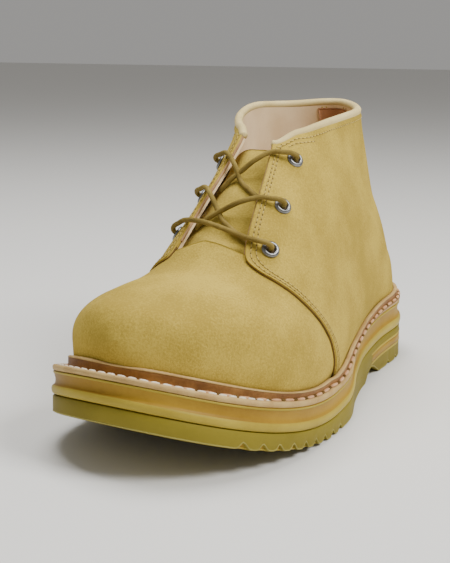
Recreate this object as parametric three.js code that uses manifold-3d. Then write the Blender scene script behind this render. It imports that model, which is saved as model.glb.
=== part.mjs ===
// A left chukka boot in millimetres: +Z up, toe towards -Y, outer (lateral) side towards +X.
import * as THREE from "three";
import { mergeVertices } from "three/addons/utils/BufferGeometryUtils.js";
import Module from "manifold-3d";

const wasm = await Module();
wasm.setup();

// Last and upper
const LAST_LENGTH = 284; // bottom edge of the upper, heel to toe
const BALL_WIDTH = 104; // bottom edge of the upper, across the ball
const INSTEP_HEIGHT = 82; // ridge at the foot of the throat, above the ball plane
const SHAFT_HEIGHT = 150; // measure of the shaft sections and of the collar line
const COLLAR_MEDIAL_RISE = 4; // the inner side of the collar stands higher
const COLLAR_MEDIAL_DIP = 2.6; // and slopes down sooner towards its front corner
const COLLAR_REACH = 45; // from the middle to either end of the collar's cutting planes
const LINED_WALL = 2.4; // vamp leather with its lining
const QUARTER_LAP = 1.6; // quarter leather lying over the vamp
const HEEL_ROUND = 0.13; // share of the length that the heel's round end takes
const TOE_ROUND = 0.29; // share of the length that the toe's round end takes
const HEEL_POWER = 2.1;
const TOE_POWER = 2.35;

// Sole unit
const OUTSOLE_FRONT = 9; // thickness under the ball
const MIDSOLE_FRONT = 12;
const MIDSOLE_HEEL = 15;
const HEEL_LIFT = 14.5; // heel seat above the ball plane
const TOE_SPRING = 22; // tip of the sole above the floor
const SPRING_START = 0.64; // share of the length where the sole leaves the floor
const SPRING_POWER = 1.75;
const SOLE_MARGIN_FRONT = 8.5; // sole edge beyond the upper
const SOLE_MARGIN_HEEL = 6;
const SOLE_MARGIN_TOE = 10.7;
const OUTSOLE_BEVEL = 1.2;
const BEAD_SWELL = 0.5;
const BAND_HOLLOW = 1.3;
const LUG_PITCH = 10.6;
const LUG_DEPTH = 3.6;
const LUG_WIDTH = 6.4;
const ARCH_HEIGHT = 7;
const HEEL_GROOVE_DEPTH = 2.6;

// Welt and small pieces
const WELT_THICK = 3;
const LIP_HEIGHT = 4.6; // upright lip above the flange
const LIP_TOE_RISE = 2; // how much taller the lip is at the toe
const LIP_THICK = 2.6;
const INSOLE_THICK = 4;
const TONGUE_THICK = 2.6;
const TONGUE_HALF = 27;
const TONGUE_SINK = 4.4; // how much lower than the form its middle lies
const EYELET_INSET = 10.5; // eyelet centre behind the throat edge
const EYELET_OUTER = 4.7;
const EYELET_BORE = 2.3;
const EYELET_BARREL = 3;
const EYELET_RISE = 1.1;
const EYELET_SEAT = QUARTER_LAP + 0.45; // underside of the ring, off the form's surface
const LACE_DIAMETER = 2.7;
const BINDING_RADIUS = 2.3;
const CLEARANCE = 0.3; // between pieces that touch

// Plan of the upper's bottom edge: share of the length from the heel, then half widths as
// shares of half the ball width.
const OUTLINE = table(["at", "lateral", "medial"], [
  [0.0, 0.68, 0.66],
  [0.1, 0.63, 0.6],
  [0.2, 0.63, 0.6],
  [0.32, 0.67, 0.61],
  [0.45, 0.775, 0.655],
  [0.58, 0.93, 0.79],
  [0.68, 0.955, 0.95],
  [0.76, 0.95, 1.03],
  [0.85, 0.925, 1.08],
  [0.93, 0.87, 1.12],
  [1.0, 0.8, 1.09],
]);

// Sections of the upper stand like a fan on the bottom edge. Each one rises from bottomAt to
// topAt, both shares of the length from the heel. Widths are shares of half the ball width.
// widest is the share of the section's height where it is widest. The powers round it below
// that height, and above it on either side.
const SECTION_COLUMNS = [
  "bottomAt", "bottomUp", "topAt", "topUp", "lateral", "medial",
  "widest", "powerBelow", "powerLateral", "powerMedial",
];
// Heights of the foot sections are shares of the instep height.
const FOOT_SECTIONS = table(SECTION_COLUMNS, [
  [1.0, 0, 1.014, 0.238, 0.84, 1.0, 0.42, 2.2, 2.2, 2.2],
  [0.99, 0, 1.0, 0.366, 0.86, 1.02, 0.42, 2.2, 2.2, 2.2],
  [0.968, 0, 0.979, 0.458, 0.9, 1.04, 0.41, 2.2, 2.25, 2.2],
  [0.93, 0, 0.944, 0.53, 0.95, 1.07, 0.39, 2.2, 2.3, 2.15],
  [0.88, 0, 0.905, 0.603, 1.0, 1.08, 0.37, 2.2, 2.3, 2.1],
  [0.82, 0, 0.863, 0.669, 1.05, 1.075, 0.345, 2.2, 2.3, 2.0],
  [0.755, 0, 0.824, 0.723, 1.09, 1.04, 0.32, 2.2, 2.3, 1.95],
  [0.69, 0, 0.789, 0.798, 1.1, 0.985, 0.3, 2.2, 2.3, 1.9],
  [0.61, 0, 0.768, 0.875, 1.07, 0.91, 0.28, 2.2, 2.4, 1.9],
  [0.53, 0, 0.743, 0.982, 1.01, 0.86, 0.27, 2.2, 2.6, 1.95],
]);
// Heights of the shaft sections are shares of the shaft height, from the ball plane at the top
// end and from the heel seat at the bottom end.
const SHAFT_SECTIONS = table(SECTION_COLUMNS, [
  [0.41, 0, 0.694, 0.647, 0.91, 0.77, 0.28, 2.2, 2.8, 2.0],
  [0.27, 0, 0.627, 0.753, 0.81, 0.71, 0.31, 2.2, 3, 2.1],
  [0.13, 0, 0.57, 0.853, 0.73, 0.68, 0.35, 2.2, 3, 2.2],
  [0.0, 0, 0.546, 0.907, 0.675, 0.66, 0.4, 2.2, 3, 2.3],
  [0.012, 0.147, 0.532, 0.96, 0.6, 0.66, 0.42, 2.1, 3, 2.4],
  [0.054, 0.3, 0.525, 1.027, 0.535, 0.65, 0.45, 2.0, 3, 2.4],
  [0.093, 0.5, 0.521, 1.093, 0.505, 0.64, 0.47, 1.95, 3, 2.4],
  [0.127, 0.7, 0.518, 1.16, 0.49, 0.63, 0.49, 1.9, 3, 2.4],
  [0.158, 0.867, 0.514, 1.227, 0.49, 0.63, 0.5, 1.9, 3, 2.4],
  [0.178, 1.1, 0.51, 1.3, 0.5, 0.635, 0.5, 1.9, 3, 2.4],
]);
const HEEL_ROW = FOOT_SECTIONS.length + 3; // the section that starts at the heel's end

// Front edge of the quarters from the side: share of the length from the heel, and height
// above the ball plane as a share of the instep height.
const QUARTER_EDGE = table(["at", "up"], [
  [0.58, 2.3],
  [0.6, 1.6],
  [0.658, 1.34],
  [0.718, 1.134],
  [0.751, 1.0],
  [0.76, 0.92],
  [0.7675, 0.86],
  [0.768, 0.809],
  [0.755, 0.746],
  [0.7245, 0.622],
  [0.682, 0.48],
  [0.645, 0.34],
  [0.628, 0.2],
  [0.62, 0.0],
  [0.618, -0.3],
]);

// Where each pair of eyelets sits, as section numbers of the whole fan. The inner ones lie a
// little nearer the ankle, because the fan leans outwards.
const EYELETS = table(["lateral", "medial"], [
  [8.9, 9.5],
  [10.23, 10.6],
  [11.5, 11.5],
]);
const THROAT_START = 8.5; // section where the throat opens
const QUARTER_GAP_START = 7.5; // section where the gap between the quarters has ended
// Half the gap between the quarters, from the ridge plane to either edge, as shares of half the
// ball width
const THROAT_EDGE = table(["section", "lateral", "medial"], [
  [8.4, 0.42, 0.346],
  [9, 0.4, 0.327],
  [10, 0.352, 0.288],
  [11, 0.288, 0.212],
  [12, 0.222, 0.154],
  [13, 0.202, 0.154],
]);

// Collar line: share of the length from the heel, and height above the ball plane as a share of
// the shaft height
const COLLAR_LINE = table(["at", "up"], [
  [0.13, 0.94],
  [0.2, 0.913],
  [0.3, 0.897],
  [0.44, 0.882],
  [0.53, 0.855],
  [0.575, 0.812],
]);

// Colours
const SUEDE = 0xb39a5c;
const OUTSOLE_OLIVE = 0x8d8246;
const MIDSOLE_HONEY = 0xa98534;
const WELT_TAN = 0xc79a62;
const BINDING_CREAM = 0xd9c495;
const INSOLE_TAN = 0xc29a76;
const EYELET_GREY = 0x7c7a70;
const LACE_KHAKI = 0x8d7a48;

const BALL_PLANE = OUTSOLE_FRONT + MIDSOLE_FRONT;
const HALF_BALL = BALL_WIDTH / 2;

// Rows of numbers as objects with named columns.
function table(columns, rows) {
  return rows.map((row) => Object.fromEntries(columns.map((name, i) => [name, row[i]])));
}

// Smooth curve through the points that never overshoots them.
function curveThrough(keys, values) {
  const last = keys.length - 1;
  const slopes = [];
  for (let i = 0; i < last; i++) {
    slopes.push((values[i + 1] - values[i]) / (keys[i + 1] - keys[i]));
  }
  const tangents = [slopes[0]];
  for (let i = 1; i < last; i++) {
    const turns = slopes[i - 1] * slopes[i] <= 0;
    tangents.push(turns ? 0 : (2 * slopes[i - 1] * slopes[i]) / (slopes[i - 1] + slopes[i]));
  }
  tangents.push(slopes[last - 1]);
  return (key) => {
    const held = THREE.MathUtils.clamp(key, keys[0], keys[last]);
    let i = 0;
    while (i < last - 1 && held > keys[i + 1]) {
      i++;
    }
    const span = keys[i + 1] - keys[i];
    const t = (held - keys[i]) / span;
    const rise = t * t * (3 - 2 * t);
    const start = t * (1 - t) * (1 - t) * span * tangents[i];
    const end = t * t * (t - 1) * span * tangents[i + 1];
    return values[i] + rise * (values[i + 1] - values[i]) + start + end;
  };
}

const columnCurve = (rows, key, name) =>
  curveThrough(rows.map((row) => row[key]), rows.map((row) => row[name]));

// 0 at t = 0 and 1 from t = 1 on, round like a superellipse.
function roundEnd(t, power) {
  const held = THREE.MathUtils.clamp(t, 0, 1);
  return Math.pow(1 - Math.pow(1 - held, power), 1 / power);
}

// Shape of the bottom, by share of the length from the heel
const lateralShare = columnCurve(OUTLINE, "at", "lateral");
const medialShare = columnCurve(OUTLINE, "at", "medial");
const liftShare = curveThrough([0, 0.15, 0.3, 0.45, 0.6, 0.7], [1, 0.97, 0.8, 0.42, 0.08, 0]);
const middleShare = curveThrough([0, 0.3, 0.6, 0.8, 1], [0, 0.01, 0.02, 0, -0.115]);
const lapShare = curveThrough([0, 0.62, 0.65, 1], [1, 1, 0, 0]);
const lengthwise = (at) => LAST_LENGTH * (0.5 - at);
const shareAt = (y) => 0.5 - y / LAST_LENGTH;
const middleOf = (at) => HALF_BALL * middleShare(at);

function springOf(at) {
  const t = THREE.MathUtils.clamp((at - SPRING_START) / (1 - SPRING_START), 0, 1.12);
  return TOE_SPRING * Math.pow(t, SPRING_POWER);
}

const deckOf = (at) => BALL_PLANE + HEEL_LIFT * liftShare(at) + springOf(at);
const midsoleOf = (at) => MIDSOLE_FRONT + (MIDSOLE_HEEL - MIDSOLE_FRONT) * liftShare(at);
const seamOf = (at) => deckOf(at) - midsoleOf(at);
const marginOf = curveThrough(
  [0, 0.35, 0.55, 0.8, 0.95, 1],
  [
    SOLE_MARGIN_HEEL, SOLE_MARGIN_HEEL,
    SOLE_MARGIN_FRONT, SOLE_MARGIN_FRONT,
    SOLE_MARGIN_TOE, SOLE_MARGIN_TOE,
  ],
);

const endRound = (at) =>
  roundEnd(at / HEEL_ROUND, HEEL_POWER) * roundEnd((1 - at) / TOE_ROUND, TOE_POWER);

function halfWidth(at, side) {
  const share = side > 0 ? lateralShare(at) : medialShare(at);
  return HALF_BALL * share * endRound(at);
}

// Sections of the upper in millimetres
const sections = [
  ...FOOT_SECTIONS.map((row) => ({
    ...row,
    bottomZ: deckOf(row.bottomAt),
    topZ: BALL_PLANE + springOf(row.topAt) + INSTEP_HEIGHT * row.topUp,
  })),
  ...SHAFT_SECTIONS.map((row) => ({
    ...row,
    bottomZ: deckOf(Math.max(row.bottomAt, 0)) + SHAFT_HEIGHT * row.bottomUp,
    topZ: BALL_PLANE + SHAFT_HEIGHT * row.topUp,
  })),
];
sections.forEach((row, i) => {
  row.number = i;
});
const LAST_SECTION = sections.length - 1;
const sectionCurves = Object.fromEntries(
  [...SECTION_COLUMNS, "bottomZ", "topZ"].map((name) => [name, columnCurve(sections, "number", name)]),
);

function sectionAt(number) {
  const row = Object.fromEntries(
    Object.entries(sectionCurves).map(([name, curve]) => [name, curve(number)]),
  );
  const onFoot = number <= HEEL_ROW;
  const at = THREE.MathUtils.clamp(row.bottomAt, 0, 1);
  row.bottomZ = onFoot ? deckOf(at) : row.bottomZ;
  row.toeRound = roundEnd((1 - row.bottomAt) / TOE_ROUND, TOE_POWER);
  row.at = at;
  row.onFoot = onFoot;
  row.bottom = new THREE.Vector3(middleOf(at), lengthwise(row.bottomAt), row.bottomZ);
  row.top = new THREE.Vector3(middleOf(row.topAt), lengthwise(row.topAt), row.topZ);
  return row;
}

const powerAbove = (row, side) => (side > 0 ? row.powerLateral : row.powerMedial);

// Widest half width and bottom half width of a section on one side
function sectionWidths(row, side) {
  const foot = row.onFoot ? halfWidth(row.at, side) : 0;
  const share = side > 0 ? row.lateral : row.medial;
  const wide = Math.max(HALF_BALL * share * row.toeRound, foot * 1.0001);
  return { wide, foot };
}

function onSection(row, side, height, out) {
  const point = row.bottom.clone().lerp(row.top, height);
  point.x += side * out;
  return point;
}

// Points of one side of a section from the bottom edge to the ridge
function sidePoints(row, side, stepsBelow, stepsAbove) {
  const { wide, foot } = sectionWidths(row, side);
  const power = powerAbove(row, side);
  const open = wide > 0 ? Math.pow(foot / wide, row.powerBelow) : 0;
  const points = [];
  for (let j = 0; j <= stepsBelow; j++) {
    const q = Math.cos((j / stepsBelow) * (Math.PI / 2));
    const out = wide * Math.pow(1 - (1 - open) * Math.pow(q, row.powerBelow), 1 / row.powerBelow);
    points.push(onSection(row, side, row.widest * (1 - q), out));
  }
  for (let j = 1; j <= stepsAbove; j++) {
    const q = Math.sin((j / stepsAbove) * (Math.PI / 2));
    const out = wide * Math.pow(Math.max(1 - Math.pow(q, power), 0), 1 / power);
    points.push(onSection(row, side, row.widest + (1 - row.widest) * q, j === stepsAbove ? 0 : out));
  }
  return points;
}

// The point above the widest place whose distance from the ridge plane is out
function surfacePoint(number, side, out) {
  const row = sectionAt(number);
  const { wide } = sectionWidths(row, side);
  const near = THREE.MathUtils.clamp(out / wide, 0, 1);
  const power = powerAbove(row, side);
  const q = Math.pow(1 - Math.pow(near, power), 1 / power);
  return onSection(row, side, row.widest + (1 - row.widest) * q, out);
}

function surfaceNormal(number, side, out) {
  const step = 0.05;
  const along = surfacePoint(number + step, side, out).sub(surfacePoint(number - step, side, out));
  const across = surfacePoint(number, side, out - step).sub(surfacePoint(number, side, out + step));
  return along.cross(across).multiplyScalar(side).normalize();
}

const offSurface = (number, side, out, rise) =>
  surfacePoint(number, side, out).addScaledVector(surfaceNormal(number, side, out), rise);

// Triangles to solids
function strip(triangles, a, b, closed) {
  const count = closed ? a.length : a.length - 1;
  for (let i = 0; i < count; i++) {
    const next = (i + 1) % a.length;
    triangles.push([a[i], a[next], b[next]], [a[i], b[next], b[i]]);
  }
}

function solidOf(triangles) {
  const kept = triangles.filter(
    ([a, b, c]) => a.distanceTo(b) > 1e-5 && b.distanceTo(c) > 1e-5 && c.distanceTo(a) > 1e-5,
  );
  let volume = 0;
  for (const [a, b, c] of kept) {
    volume += a.dot(b.clone().cross(c)) / 6;
  }
  const ordered = volume < 0 ? kept.map(([a, b, c]) => [a, c, b]) : kept;
  const numbers = ordered.flatMap((points) => points.flatMap((p) => [p.x, p.y, p.z]));
  const loose = new THREE.BufferGeometry();
  loose.setAttribute("position", new THREE.Float32BufferAttribute(numbers, 3));
  return manifoldOf(loose);
}

function manifoldOf(geometry) {
  const bare = geometry.clone();
  bare.deleteAttribute("normal");
  bare.deleteAttribute("uv");
  const merged = mergeVertices(bare, 1e-4);
  return new wasm.Manifold(
    new wasm.Mesh({
      numProp: 3,
      vertProperties: new Float32Array(merged.attributes.position.array),
      triVerts: new Uint32Array(merged.index.array),
    }),
  );
}

function geometryOf(solid) {
  const mesh = solid.getMesh();
  const geometry = new THREE.BufferGeometry();
  const positions = new Float32Array(mesh.numVert * 3);
  for (let i = 0; i < mesh.numVert; i++) {
    positions.set(mesh.vertProperties.subarray(i * mesh.numProp, i * mesh.numProp + 3), i * 3);
  }
  geometry.setAttribute("position", new THREE.BufferAttribute(positions, 3));
  geometry.setIndex(new THREE.BufferAttribute(new Uint32Array(mesh.triVerts), 1));
  return geometry;
}

// Closed solid through loops of equal length, with both ends closed as fans
function loft(loops) {
  const triangles = [];
  for (let i = 0; i + 1 < loops.length; i++) {
    strip(triangles, loops[i], loops[i + 1], true);
  }
  const last = loops[loops.length - 1];
  for (let i = 1; i + 1 < last.length; i++) {
    triangles.push([loops[0][0], loops[0][i + 1], loops[0][i]], [last[0], last[i], last[i + 1]]);
  }
  return solidOf(triangles);
}

// Prism between the same outline at two places across the boot, each with its own heights
function crossPrism(reach, lateralOutline, medialOutline) {
  const flat = lateralOutline.map(([y, z]) => new THREE.Vector2(y, z));
  const a = lateralOutline.map(([y, z]) => new THREE.Vector3(reach, y, z));
  const b = medialOutline.map(([y, z]) => new THREE.Vector3(-reach, y, z));
  const triangles = [];
  strip(triangles, a, b, true);
  for (const [i, j, k] of THREE.ShapeUtils.triangulateShape(flat, [])) {
    triangles.push([a[i], a[k], a[j]], [b[i], b[j], b[k]]);
  }
  return solidOf(orient(triangles));
}

// Turns triangles so that neighbours agree, starting from the first
function orient(triangles) {
  const keyOf = (p) => [p.x, p.y, p.z].map((v) => v.toFixed(4)).join();
  const edges = new Map();
  triangles.forEach((corners, t) => {
    for (let e = 0; e < 3; e++) {
      const pair = [keyOf(corners[e]), keyOf(corners[(e + 1) % 3])].sort().join("|");
      edges.set(pair, [...(edges.get(pair) ?? []), t]);
    }
  });
  const done = new Map([[0, triangles[0]]]);
  const waiting = [0];
  while (waiting.length) {
    const t = waiting.pop();
    const corners = done.get(t);
    for (let e = 0; e < 3; e++) {
      const from = keyOf(corners[e]);
      const to = keyOf(corners[(e + 1) % 3]);
      for (const other of edges.get([from, to].sort().join("|"))) {
        if (!done.has(other)) {
          const keys = triangles[other].map(keyOf);
          const same = keys[(keys.indexOf(from) + 1) % 3] === to;
          done.set(other, same ? [...triangles[other]].reverse() : triangles[other]);
          waiting.push(other);
        }
      }
    }
  }
  return [...done.values()];
}

// The upper's own form, grown by offset, as a closed solid with a straight skirt below
const STEPS_BELOW = 4;
const STEPS_ABOVE = 7;
const stations = [
  ...Array.from({ length: 19 }, (_, i) => HEEL_ROW * Math.pow(i / 19, 1.35)),
  ...Array.from({ length: 7 }, (_, i) => HEEL_ROW + ((LAST_SECTION - HEEL_ROW) * i) / 6),
];
const formGrid = stations.map((number) => {
  const row = sectionAt(number);
  const lateral = sidePoints(row, 1, STEPS_BELOW, STEPS_ABOVE);
  const medial = sidePoints(row, -1, STEPS_BELOW, STEPS_ABOVE);
  return [...lateral, ...medial.reverse().slice(1)];
});
const heelStation = stations.indexOf(HEEL_ROW);

const formNormals = (() => {
  const keyOf = (p) => [p.x, p.y, p.z].map((v) => v.toFixed(3)).join();
  const sums = new Map();
  const triangles = [];
  for (let i = 0; i + 1 < formGrid.length; i++) {
    strip(triangles, formGrid[i + 1], formGrid[i], false);
  }
  for (const [a, b, c] of triangles) {
    const face = b.clone().sub(a).cross(c.clone().sub(a));
    for (const p of [a, b, c]) {
      const key = keyOf(p);
      sums.set(key, (sums.get(key) ?? new THREE.Vector3()).add(face));
    }
  }
  return formGrid.map((line) => line.map((p) => sums.get(keyOf(p)).clone().normalize()));
})();

function formSolid(offset, skirt) {
  const grid = formGrid.map((line, i) =>
    line.map((p, j) => p.clone().addScaledVector(formNormals[i][j], offset)),
  );
  const triangles = [];
  for (let i = 0; i + 1 < grid.length; i++) {
    strip(triangles, grid[i + 1], grid[i], false);
  }
  const foot = grid.slice(0, heelStation + 1);
  const lateral = foot.map((line) => line[0]);
  const medial = foot.map((line) => line[line.length - 1]);
  const dropped = (points) => points.map((p) => new THREE.Vector3(p.x, p.y, p.z - skirt));
  const lateralLow = dropped(lateral);
  const medialLow = dropped(medial);
  strip(triangles, lateral, lateralLow, false);
  strip(triangles, medialLow, medial, false);
  strip(triangles, lateralLow, medialLow, false);
  const ring = grid[grid.length - 1];
  const half = (ring.length - 1) / 2;
  const near = ring.slice(0, half + 1);
  const far = [...ring.slice(half)].reverse();
  strip(triangles, near, far, false);
  return solidOf(orient(triangles.filter(([a, b, c]) =>
    a.distanceTo(b) > 1e-5 && b.distanceTo(c) > 1e-5 && c.distanceTo(a) > 1e-5)));
}

// Sole loops
const SOLE_STEPS = 26;
const soleShares = Array.from(
  { length: SOLE_STEPS + 1 },
  (_, i) => (1 - Math.cos((i / SOLE_STEPS) * Math.PI)) / 2,
);
const edgeLoop = (() => {
  const lateral = soleShares.map((at) => [middleOf(at) + halfWidth(at, 1), lengthwise(at), at]);
  const medial = soleShares.map((at) => [middleOf(at) - halfWidth(at, -1), lengthwise(at), at]);
  const loop = [...lateral, ...medial.slice(1, -1).reverse()];
  return loop.map(([x, y, at], i) => {
    const before = loop[(i + loop.length - 1) % loop.length];
    const after = loop[(i + 1) % loop.length];
    const normal = new THREE.Vector2(-(after[1] - before[1]), after[0] - before[0]).normalize();
    return { x, y, at, normal };
  });
})();

// A loop outside the upper's edge by out(at), at the height up(at)
const soleRing = (out, up) =>
  edgeLoop.map(({ x, y, at, normal }) => {
    const grow = out(at);
    const py = y + normal.y * grow;
    return new THREE.Vector3(x + normal.x * grow, py, up(shareAt(py)));
  });

// Closed solid through rings from the bottom up, closed across by straight strips
function stackRings(rings) {
  const triangles = [];
  for (let i = 0; i + 1 < rings.length; i++) {
    strip(triangles, rings[i], rings[i + 1], true);
  }
  for (const ring of [rings[0], rings[rings.length - 1]]) {
    const lateral = ring.slice(0, SOLE_STEPS + 1);
    const medial = [ring[0], ...ring.slice(SOLE_STEPS).reverse()];
    strip(triangles, lateral, medial, false);
  }
  return solidOf(orient(triangles.filter(([a, b, c]) =>
    a.distanceTo(b) > 1e-5 && b.distanceTo(c) > 1e-5 && c.distanceTo(a) > 1e-5)));
}

// V groove across the whole sole, with its mouth at height z
function grooveAt(y, z, width, depth) {
  const outline = [
    [y - width / 2, z - 1],
    [y - width / 2, z],
    [y, z + depth],
    [y + width / 2, z],
    [y + width / 2, z - 1],
  ];
  return crossPrism(BALL_WIDTH, outline, outline);
}

function makeOutsole() {
  const edge = (grow) => (at) => marginOf(at) + grow;
  let body = stackRings([
    soleRing(edge(-OUTSOLE_BEVEL), springOf),
    soleRing(edge(0), (at) => springOf(at) + OUTSOLE_BEVEL),
    soleRing(edge(0), (at) => seamOf(at) - OUTSOLE_BEVEL),
    soleRing(edge(-OUTSOLE_BEVEL / 2), seamOf),
  ]);
  for (let i = 0; i < 9; i++) {
    const y = lengthwise(0.615) - LUG_PITCH * i;
    body = body.subtract(grooveAt(y, springOf(shareAt(y)), LUG_WIDTH, LUG_DEPTH));
  }
  for (const at of [0.165, 0.115, 0.065]) {
    body = body.subtract(grooveAt(lengthwise(at), 0, LUG_WIDTH, HEEL_GROOVE_DEPTH));
  }
  const arch = [
    [lengthwise(0.33), -1],
    [lengthwise(0.33), 0],
    [lengthwise(0.303), ARCH_HEIGHT * 0.8],
    [lengthwise(0.284), ARCH_HEIGHT],
    [lengthwise(0.258), ARCH_HEIGHT * 0.72],
    [lengthwise(0.222), 0],
    [lengthwise(0.222), -1],
  ];
  return body.subtract(crossPrism(BALL_WIDTH, arch, arch));
}

// Side of the midsole from the bottom up: share of its thickness, and how far it stands out
function makeMidsole() {
  const profile = [
    [0, -0.7],
    [0.1, BEAD_SWELL * 0.6],
    [0.28, BEAD_SWELL],
    [0.42, -0.4],
    [0.52, -BAND_HOLLOW * 0.8],
    [0.74, -BAND_HOLLOW],
    [1, -0.3],
  ];
  return stackRings(
    profile.map(([share, grow]) =>
      soleRing(
        (at) => marginOf(at) + grow,
        (at) => seamOf(at) + CLEARANCE + (midsoleOf(at) - CLEARANCE) * share,
      ),
    ),
  );
}

// The whole upper as one closed form, grown by extra
const fullForm = (extra) =>
  formSolid(extra, 20).add(formSolid(QUARTER_LAP + extra, 20).intersect(quarterRegion(extra)));

// Upper's side on one side of the sole's loop: the section that starts there, at a height
// above the deck
function sideAbove(at, side, height) {
  let low = 0;
  let high = HEEL_ROW;
  for (let i = 0; i < 30; i++) {
    const number = (low + high) / 2;
    if (sectionCurves.bottomAt(number) > at) {
      low = number;
    } else {
      high = number;
    }
  }
  const row = sectionAt(low);
  const { wide, foot } = sectionWidths(row, side);
  const open = wide > 0 ? Math.pow(foot / wide, row.powerBelow) : 0;
  const share = Math.min(height / (row.topZ - row.bottomZ), row.widest);
  const q = 1 - share / row.widest;
  const out = wide * Math.pow(1 - (1 - open) * Math.pow(q, row.powerBelow), 1 / row.powerBelow);
  return onSection(row, side, share, out);
}

const lipOf = (at) => LIP_HEIGHT + LIP_TOE_RISE * THREE.MathUtils.smoothstep(at, 0.78, 1);

// Ring against the upper's side, moved outwards by out, at a share of the lip's height
const lipRing = (out, share, base) =>
  edgeLoop.map(({ at, normal }, i) => {
    const height = base + lipOf(at) * share;
    const point = sideAbove(at, i <= SOLE_STEPS ? 1 : -1, height);
    const grow = out + QUARTER_LAP * lapShare(at);
    const y = point.y + normal.y * grow;
    return new THREE.Vector3(point.x + normal.x * grow, y, deckOf(shareAt(y)) + height);
  });

// Closed strip round the boot through rings that return to the first
function hoop(rings) {
  const triangles = [];
  for (let i = 0; i < rings.length; i++) {
    strip(triangles, rings[i], rings[(i + 1) % rings.length], true);
  }
  return solidOf(orient(triangles));
}

function makeWelt() {
  const top = CLEARANCE + WELT_THICK;
  const flange = [
    [() => -1.5, CLEARANCE],
    [(at) => marginOf(at) - 0.5, CLEARANCE],
    [(at) => marginOf(at) - 0.1, CLEARANCE + 0.35 * WELT_THICK],
    [(at) => marginOf(at) - 0.6, top - 0.3],
    [() => -1.5, top],
  ].map(([out, rise]) => soleRing(out, (at) => deckOf(at) + rise));
  const lip = [
    [-1, 0, CLEARANCE + WELT_THICK / 2],
    [LIP_THICK + 1.4, 0, CLEARANCE + WELT_THICK / 2],
    [LIP_THICK + 0.9, 0.1, top],
    [LIP_THICK, 0.9, top],
    [LIP_THICK - 0.7, 1, top],
    [-1, 1, top],
  ].map(([out, share, base]) => lipRing(out, share, base));
  return hoop(flange).add(hoop(lip)).subtract(fullForm(CLEARANCE));
}

// Everything below the top of the midsole, raised by rise
const underDeck = (rise) =>
  stackRings([
    soleRing(() => 30, () => -20),
    soleRing(() => 30, (at) => deckOf(at) + rise),
  ]);

const collarShare = columnCurve(COLLAR_LINE, "at", "up");

function collarAt(at, x) {
  const { smoothstep } = THREE.MathUtils;
  const dip = COLLAR_MEDIAL_DIP * smoothstep(at, 0.3, 0.47) * (1 - 0.8 * smoothstep(at, 0.5, 0.575));
  const inward = 1 - x / COLLAR_REACH;
  const rise = inward * (COLLAR_MEDIAL_RISE * smoothstep(at, 0.05, 0.45) - dip);
  return BALL_PLANE + SHAFT_HEIGHT * collarShare(at) + rise;
}

// Everything above the collar line, with the line moved square to itself by rise
function aboveCollar(rise) {
  const step = 0.004;
  const slopeAt = (at, x) => (collarAt(at - step, x) - collarAt(at + step, x)) / (2 * step * LAST_LENGTH);
  const lineOf = (x) => {
    const shares = [-0.3, ...Array.from({ length: 20 }, (_, i) => 0.1 + 0.025 * i), 0.6];
    const points = shares.map((at) => [
      lengthwise(at),
      collarAt(at, x) + rise * Math.hypot(1, slopeAt(at, x)),
    ]);
    const [frontY, frontZ] = points[points.length - 1];
    const high = BALL_PLANE + SHAFT_HEIGHT * 2;
    return [...points, [frontY - 60, frontZ - 20], [frontY - 60, high], [points[0][0], high]];
  };
  return crossPrism(COLLAR_REACH, lineOf(COLLAR_REACH), lineOf(-COLLAR_REACH));
}

// Slot along the ridge from one section up, with a round lower end
function ridgeSlot(start, endLength) {
  const loops = [];
  const count = 14;
  for (let i = 0; i <= count; i++) {
    const number = start + (LAST_SECTION - start) * Math.pow(i / count, 1.5);
    const row = sectionAt(number);
    const inward = row.bottom.clone().sub(row.top).normalize();
    const rounding = roundEnd((number - start) / endLength, 2);
    const lateral = Math.max(throatHalf(number, 1) * rounding, 0.4);
    const medial = Math.max(throatHalf(number, -1) * rounding, 0.4);
    const corner = (x, depth) => {
      const p = row.top.clone().addScaledVector(inward, depth);
      p.x += x;
      return p;
    };
    loops.push([corner(lateral, -12), corner(lateral, 20), corner(-medial, 20), corner(-medial, -12)]);
  }
  return loft(loops);
}

const lateralGap = columnCurve(THROAT_EDGE, "section", "lateral");
const medialGap = columnCurve(THROAT_EDGE, "section", "medial");
const throatHalf = (number, side) => HALF_BALL * (side > 0 ? lateralGap(number) : medialGap(number));

// Turning and placing a lathed or extruded piece so that its +Z lies along the normal
function placeAlong(geometry, point, normal) {
  const turn = new THREE.Quaternion().setFromUnitVectors(new THREE.Vector3(0, 0, 1), normal);
  return geometry.applyQuaternion(turn).translate(point.x, point.y, point.z);
}

const eyeletSection = (i, side) => (side > 0 ? EYELETS[i].lateral : EYELETS[i].medial);
const eyeletSpots = [1, -1].flatMap((side) =>
  EYELETS.map((_, i) => {
    const number = eyeletSection(i, side);
    const out = throatHalf(number, side) + EYELET_INSET;
    return {
      name: (side > 0 ? "eyelet_lateral_" : "eyelet_medial_") + (i + 1),
      point: surfacePoint(number, side, out),
      normal: surfaceNormal(number, side, out),
    };
  }),
);

// Everything behind the front edge of the quarters, with that edge moved forwards by grow
function quarterRegion(grow = 0) {
  const quarterLine = QUARTER_EDGE.map(({ at, up }) => [
    lengthwise(at) - grow,
    BALL_PLANE + INSTEP_HEIGHT * up,
  ]);
  const behind = LAST_LENGTH;
  const high = BALL_PLANE + SHAFT_HEIGHT * 2;
  const low = quarterLine[quarterLine.length - 1][1];
  const outline = [[quarterLine[0][0], high], ...quarterLine, [behind, low], [behind, high]];
  return crossPrism(BALL_WIDTH, outline, outline);
}

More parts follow.
